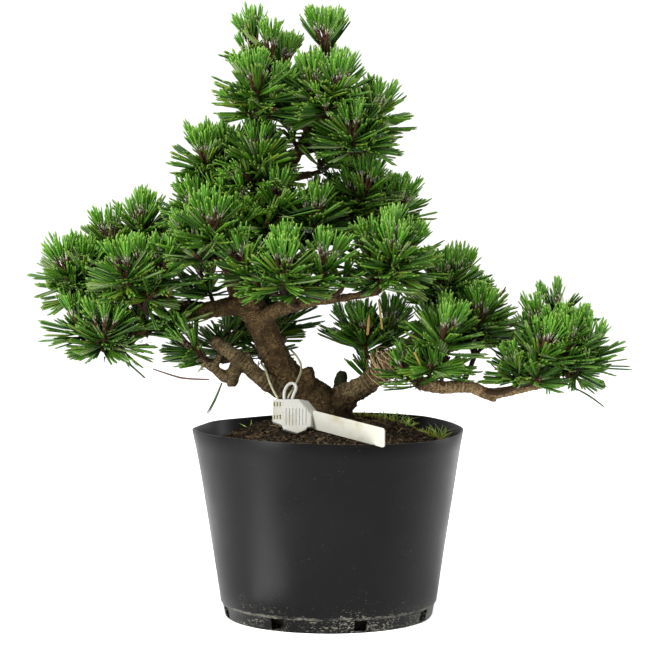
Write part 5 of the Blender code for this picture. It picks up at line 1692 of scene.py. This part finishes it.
# %% [markdown]
# Pine needles are never one green. Five plain greens are dealt out among the old ones, from nearly black to
# a pale bloom, and their blunt tips are lighter. Young needles are brighter, their sheaths are whitish, and
# the scales are dry browns.

# %% Needle finishes
old_greens = plain_set(
    ("needle_dark", (0.0125, 0.0430, 0.0028), 0.45, 0.14),
    ("needle_green", (0.0245, 0.0730, 0.0037), 0.43, 0.14),
    ("needle_light", (0.0410, 0.1080, 0.0060), 0.42, 0.14),
    ("needle_bloom", (0.0820, 0.1250, 0.0400), 0.55, 0.12),
    ("needle_olive", (0.0560, 0.0960, 0.0070), 0.45, 0.16),
    ("needle_tip", (0.0620, 0.1130, 0.0110), 0.50, 0.16),
)
young_greens = plain_set(
    ("young_deep", (0.0290, 0.1000, 0.0040), 0.42, 0.16),
    ("young_green", (0.0400, 0.1280, 0.0060), 0.42, 0.16),
    ("young_bright", (0.0620, 0.1520, 0.0120), 0.42, 0.16),
    ("young_tip", (0.0850, 0.1600, 0.0180), 0.45, 0.16),
)
sheath_white = plain_set(("sheath_white", (0.24, 0.225, 0.165), 0.7, 0.1))
candle_brown = plain_set(("candle_brown", (0.0340, 0.0165, 0.0062), 0.75, 0.1))
scale_browns = plain_set(
    ("scale_pale", (0.20, 0.165, 0.120), 0.8, 0.1),
    ("scale_rust", (0.055, 0.0280, 0.0110), 0.85, 0.1),
    ("scale_dark", (0.0170, 0.0095, 0.0045), 0.9, 0.1),
)
NEEDLE_NODES = [name for name in NODES if name.startswith("needles_")]
KINDS = (
    ("old", "old_needles", "needles", old_greens), ("young", "young_needles", "needles", young_greens),
    ("sheath", "sheaths", "needles", sheath_white), ("candle", "candles", "bark", candle_brown),
    ("scale", "bud_scales", "bark", scale_browns),
)
for storey, heaps in grown.items():
    for kind, name, slot, finishes in KINDS:
        replaced = NEEDLE_NODES if (storey, kind) == ("crown", "old") else ()
        piece = heaps[kind].build(f"{name}_{storey}")
        finish_piece(piece, piece.name, finishes, replaced)

# %% [markdown]
# ## Loose needles
#
# Dead needles hang where they fell, tan, rust or yellow, and a few long green ones droop below the pads.
# They are few and each is seen by itself, so each has its own place, bent a little by its own weight.

# %% Loose needles
LOOSE_NEEDLES = (       # its two ends, its droop and its colour
    ((27, -34, 178), (29, -37, 162), 0.0, 0), ((22, -33, 170), (21, -36, 159), 0.0, 0),
    ((-66, -14, 133), (-97, -15, 139), -2.0, 1), ((-59, -12, 131), (-67, -14, 114), -1.0, 2),
    ((134, -12, 129), (152, -15, 118), 1.0, 2), ((100, -20, 133), (89, -24, 142), 0.0, 3),
    ((50, -40, 142), (46, -44, 150), 0.0, 0), ((95, -6, 178), (98, -9, 184), 0.0, 1),
    ((-117, -22, 147), (-100, -30, 135), 1.0, 2), ((-88, -30, 176), (-84, -44, 184), 0.0, 1),
    ((-48, -8, 190), (-62, -30, 193), 1.0, 1), ((2, 20, 246), (-4, 4, 254), 0.0, 1),
    ((60, 30, 160), (72, 40, 149), 1.0, 1), ((-60, 50, 190), (-70, 62, 182), 1.0, 3),
)
LOOSE_RADII = (0.35, 0.5, 0.25)         # at its foot, middle and tip
PAIR_SWINGS = (0.0, 0.3, 0.45)          # how far the two of a pair stand apart there


def loose_needles():
    chance = random.Random("loose")
    heap = Heap()
    for start, end, droop, kind in LOOSE_NEEDLES:
        start, end = Vector(start), Vector(end)
        places = (start, start.lerp(end, 0.5) + UP * droop, end)
        swing = Vector((chance.uniform(-1, 1), chance.uniform(-1, 1), 0.0))
        for side in (-1.0, 1.0):
            stations = [
                (*(place + swing * share * side), radius)
                for place, share, radius in zip(places, PAIR_SWINGS, LOOSE_RADII)
            ]
            heap.add(tube_shape(smooth_route(stations, 3), 4, chance), kind)
    return heap.build("loose_needles")


finish_piece(loose_needles(), "loose_needles", plain_set(
    ("needle_tan", (0.20, 0.130, 0.028), 0.6, 0.2),
    ("needle_rust", (0.070, 0.026, 0.010), 0.6, 0.2),
    ("needle_drooping", (0.022, 0.045, 0.012), 0.5, 0.2),
    ("needle_yellow", (0.20, 0.130, 0.020), 0.6, 0.2),
))

# %% [markdown]
# ## The fibre tie
#
# A twist of rough palm fibre is bound round the right bough, to shape it, and its ends are frayed. Many
# thin strands wind round the bough's own route, each at its own slant, and some stand off in a loop.

# %% Fibre tie
TIE_STRANDS = 70
TIE_FROM, TIE_TO = 0.72, 0.97       # shares of the bough's length
TIE_LOOSE = 0.4                     # the share of strands that stand off in a loop
TIE_LOOP = 4.5
TIE_SWEEPS = (1.6, 5.0)             # how far a strand winds round the bough, in radians
TIE_SLANT = 0.24                    # how far it wanders along it, as a share of the bough's length
TIE_STEPS = 7
TIE_CLEAR = 0.5                     # the least gap to the bark, and how much more of it there may be
TIE_RADIUS, TIE_END_RADIUS = 0.32, 0.2
TIE_END_WAY = Vector((0.7, -0.3, 0.6))      # the bough's way at its very end


def fibre_tie():
    chance = random.Random("tie")
    heap = Heap()
    route = LIMB_ROUTES["bough_right"]
    for index in range(TIE_STRANDS):
        share = chance.uniform(TIE_FROM, TIE_TO)
        start_angle = chance.uniform(0, 2 * math.pi)
        sweep = chance.uniform(*TIE_SWEEPS) * chance.choice((-1, 1))
        slant = about(chance, TIE_SLANT)
        loop = TIE_LOOP if chance.random() < TIE_LOOSE else 0.0
        stations = []
        for step in range(TIE_STEPS + 1):
            t = step / TIE_STEPS
            centre, radius = along(route, min(share + slant * t, 1.0))
            ahead, _ = along(route, min(share + slant * t + 0.02, 1.0))
            way = (ahead - centre if ahead != centre else TIE_END_WAY).normalized()
            out = Matrix.Rotation(start_angle + sweep * t, 3, way) @ way.cross(UP).normalized()
            away = radius + TIE_CLEAR * (1.0 + chance.random()) + loop * math.sin(math.pi * t)
            stations.append((*(centre + out * away), TIE_RADIUS if t < 0.8 else TIE_END_RADIUS))
        heap.add(tube_shape(stations, 4, chance), index % 2)
    return heap.build("fibre_tie")


finish_piece(fibre_tie(), "fibre_tie", plain_set(
    ("fibre_tan", (0.280, 0.205, 0.105), 0.9, 0.1),
    ("fibre_brown", (0.110, 0.075, 0.036), 0.9, 0.1),
))

# %% [markdown]
# ## The tag
#
# A ribbed plastic clip holds a blank strip, and hangs by a coated wire from the trunk. The clip's outline
# is a circle whose points are moved to its corners and which is then extruded. Bevel rounds its edges, and
# two Booleans sink the grooves between its ribs and six small slots.

# %% Clip
CLIP_BACK = (
    (-17.0, 9.5), (-17.0, -3.0), (-11.9, -4.9), (-11.0, -7.2), (-3.4, -9.6), (0.9, -7.8), (1.9, -6.2),
    (5.6, -6.1), (7.2, 3.8), (2.4, 9.8),
)
# The front is the same but for its three right corners, so the right side slopes back to the clip's edge.
CLIP_FRONT = (*CLIP_BACK[:7], (3.9, -5.9), (3.9, 0.6), (-3.2, 9.6))
CLIP_AT = (-13.4, -36.0, 114.3)
CLIP_LEAN_DEG = 20.0
CLIP_THICKNESS = 4.4
EDGE_SOFTNESS = 0.4
GROOVES = (-9.6, -7.8, -6.0, -4.2, -2.4, -0.6, 1.2)
GROOVE_SIZE = (0.42, 9.6, 0.65)
GROOVE_MIDDLE = -0.4
CLIP_SLOTS = [(x, y) for x in (-16.0, -14.4, -12.8) for y in (6.6, -0.6)]
CLIP_SLOT_SIZE = (0.8, 2.4, 1.4)
STAIN_SIZE, STAIN_DEPTH = (0.9, 2.5, 0.3), 0.68     # the yellow dirt on the slots' floors
EYELET_RADIUS = 0.85
TUBE_STEPS, TUBE_BEVEL = 6, 3


def plate(name, outline, thickness, softness, front_outline=None):
    """A flat plate that lies on the floor plane, with softened edges."""
    bpy.ops.object.select_all(action="DESELECT")
    bpy.ops.mesh.primitive_circle_add(vertices=len(outline), radius=MM, fill_type="NGON")
    thing = bpy.context.object
    thing.name = name
    for vertex, (x, y) in zip(thing.data.vertices, outline):
        vertex.co = (x * MM, y * MM, -thickness * MM / 2)
    bpy.ops.object.mode_set(mode="EDIT")
    bpy.ops.mesh.select_all(action="SELECT")
    bpy.ops.mesh.extrude_region_move(TRANSFORM_OT_translate={"value": (0, 0, thickness * MM)})
    bpy.ops.object.mode_set(mode="OBJECT")
    raised = [vertex for vertex in thing.data.vertices if vertex.co.z > 0]
    for (back_x, back_y), (x, y) in zip(outline, front_outline or outline):
        moved = min(raised, key=lambda v: (v.co.x / MM - back_x) ** 2 + (v.co.y / MM - back_y) ** 2)
        moved.co.x, moved.co.y = x * MM, y * MM
    face_out(thing)
    apply_modifier(thing, "BEVEL", width=softness * MM, segments=3, limit_method="ANGLE")
    return thing


def flat_boxes(name, places, size, z):
    """Boxes of one size at places on a level plane, joined."""
    return boxes(name, [(x, y, z, 0.0) for x, y in places], size)


def bent_tube(name, route, radius, closed=False):
    """A round tube along a smooth route, turned into a mesh. A closed one joins its end to its start."""
    if closed:
        route = smooth_route((route[-1], *route, *route[:2]), TUBE_STEPS)[TUBE_STEPS:-TUBE_STEPS][:-1]
    else:
        route = smooth_route(route, TUBE_STEPS)
    pick(curve_tube(name, route, radius * MM, TUBE_BEVEL, closed=closed))
    bpy.ops.object.convert(target="MESH")
    return bpy.context.object


EYELET = (
    (-10.4, 8.6), (-10.8, 11.6), (-10.5, 14.8), (-8.9, 17.9), (-6.6, 19.0), (-4.7, 17.8), (-4.5, 15.4),
    (-5.9, 12.0), (-6.7, 8.6),
)
front = CLIP_THICKNESS / 2
clip = plate("clip", CLIP_BACK, CLIP_THICKNESS, EDGE_SOFTNESS, CLIP_FRONT)
cut_with(clip, flat_boxes("grooves", [(x, GROOVE_MIDDLE) for x in GROOVES], GROOVE_SIZE, front))
cut_with(clip, flat_boxes("slots", CLIP_SLOTS, CLIP_SLOT_SIZE, front))
clip = join([clip, bent_tube("eyelet", [(x, y, 0.0) for x, y in EYELET], EYELET_RADIUS)], "clip")
stains = flat_boxes("stains", CLIP_SLOTS, STAIN_SIZE, front - STAIN_DEPTH)
clip_turn = Matrix.Rotation(math.radians(90 - CLIP_LEAN_DEG), 4, "X")
for part in (clip, stains):
    part.matrix_world = Matrix.Translation(Vector(CLIP_AT) * MM) @ clip_turn
print("clip with", len(GROOVES), "grooves and", len(CLIP_SLOTS), "slots")

# %% [markdown]
# The strip is a thin plate with two rounded corners at its far end. It leaves the clip just behind its
# front, slopes down to the right over the soil, and its end lies over the pot's rim.

# %% Strip
STRIP_LENGTH, STRIP_WIDTH, STRIP_THICKNESS = 54.5, 10.3, 0.9
STRIP_CORNER, STRIP_SOFTNESS = 1.5, 0.2
STRIP_FROM = (-8.2, -36.2, 112.9)
STRIP_TO = (29.3, -75.5, 107.0)


def strip_outline():
    """The strip's outline, with two rounded corners at its far end."""
    half, corner = STRIP_WIDTH / 2, STRIP_CORNER
    points = [(0.0, half), (0.0, -half)]
    for y, first in ((corner - half, -90), (half - corner, 0)):
        for turn in np.radians([first, first + 30, first + 60, first + 90]):
            points.append((STRIP_LENGTH - corner + corner * math.cos(turn), y + corner * math.sin(turn)))
    return points


strip = plate("strip", strip_outline(), STRIP_THICKNESS, STRIP_SOFTNESS)
strip_way = (Vector(STRIP_TO) - Vector(STRIP_FROM)).normalized()
strip_up = Vector((0.0, strip_way.z, -strip_way.y)).normalized()
strip_turn = Matrix((strip_way, strip_up, strip_way.cross(strip_up))).transposed().to_4x4()
strip.matrix_world = Matrix.Translation(Vector(STRIP_FROM) * MM) @ strip_turn
print("strip of", STRIP_LENGTH, "mm")

# %% [markdown]
# Clip and strip are white plastic that has stood outside for years. Rain has left yellow patches and fine
# grey dirt on it, more on the strip than on the clip.

# %% Tag finish
CLIP_WHITE = (0.262, 0.262, 0.240)
STRIP_WHITE = (0.262, 0.258, 0.224)
TAG_YELLOW = (0.165, 0.145, 0.070)
TAG_DIRT = (0.085, 0.078, 0.055)


def tag_material(name, white, yellow_share):
    finish = Finish(name, 0.5, 0.25)
    grain = finish.group(GRAIN, Broad=190.0, Fine=1200.0)
    specks = finish.group(SPECKS, Scale=900.0, Amount=0.36)
    patches = finish.group(PATCHES, Scale=95.0, Detail=4.0, Low=0.5, High=0.72)["Mask"]
    base = finish.mix(finish.times(patches, yellow_share), white, TAG_YELLOW)
    base = finish.mix(finish.times(grain["Mottle"], 0.12), base, TAG_YELLOW)
    finish.colour(finish.mix(finish.times(specks["Mask"], 0.7), base, TAG_DIRT))
    finish.bump(grain["Height"], 0.15, 0.2 * MM)
    return finish.material


for piece, name, finish, replaced, smooth_deg in (
    (clip, "clip_body", tag_material("clip_plastic", CLIP_WHITE, 0.25), ["tag_clip"], 35),
    (stains, "clip_stains", plain_material("slot_yellow", (0.17, 0.145, 0.045), 0.7), (), None),
    (strip, "strip_body", tag_material("strip_plastic", STRIP_WHITE, 0.6), ["tag_strip"], 35),
):
    finish_piece(piece, name, [finish], replaced, smooth_deg=smooth_deg)

# %% [markdown]
# The wire runs through the clip's eyelet, up past the trunk's right side, round behind it over the stub,
# and down again on the left to the back of the clip. It is a closed curve with a round bevel.

# %% Wire
WIRE_RADIUS = 0.62
WIRE_ROUTE = (
    (-21.6, -31.4, 125.6), (-22.8, -30.4, 121.8), (-25.2, -29.6, 119.9), (-27.2, -29.8, 121.2),
    (-27.9, -29.6, 124.0), (-30.0, -26.6, 127.6), (-32.6, -20.0, 132.6), (-34.8, -9.0, 137.6),
    (-37.6, 2.0, 141.4), (-35.0, 13.0, 144.6), (-28.0, 16.4, 147.0), (-22.4, 12.6, 148.2),
    (-20.4, 5.0, 147.4), (-17.6, -1.0, 144.6), (-15.4, -7.0, 140.8), (-15.4, -13.0, 137.0),
    (-17.2, -20.0, 132.8), (-19.4, -27.2, 128.8),
)
WIRE_DARK, WIRE_PALE = (0.17, 0.165, 0.095), (0.22, 0.215, 0.14)


def wire_material():
    finish = Finish("wire_coating", 0.45, 0.3)
    grain = finish.group(GRAIN, Broad=300.0, Fine=1500.0)
    specks = finish.group(SPECKS, Scale=900.0, Amount=0.4)
    base = finish.mix(grain["Mottle"], WIRE_DARK, WIRE_PALE)
    finish.colour(finish.mix(finish.times(specks["Mask"], 0.6), base, TAG_DIRT))
    return finish.material


wire = bent_tube("wire", WIRE_ROUTE, WIRE_RADIUS, closed=True)
finish_piece(wire, "coated_wire", [wire_material()], ["tag_wire"], smooth_deg=60)
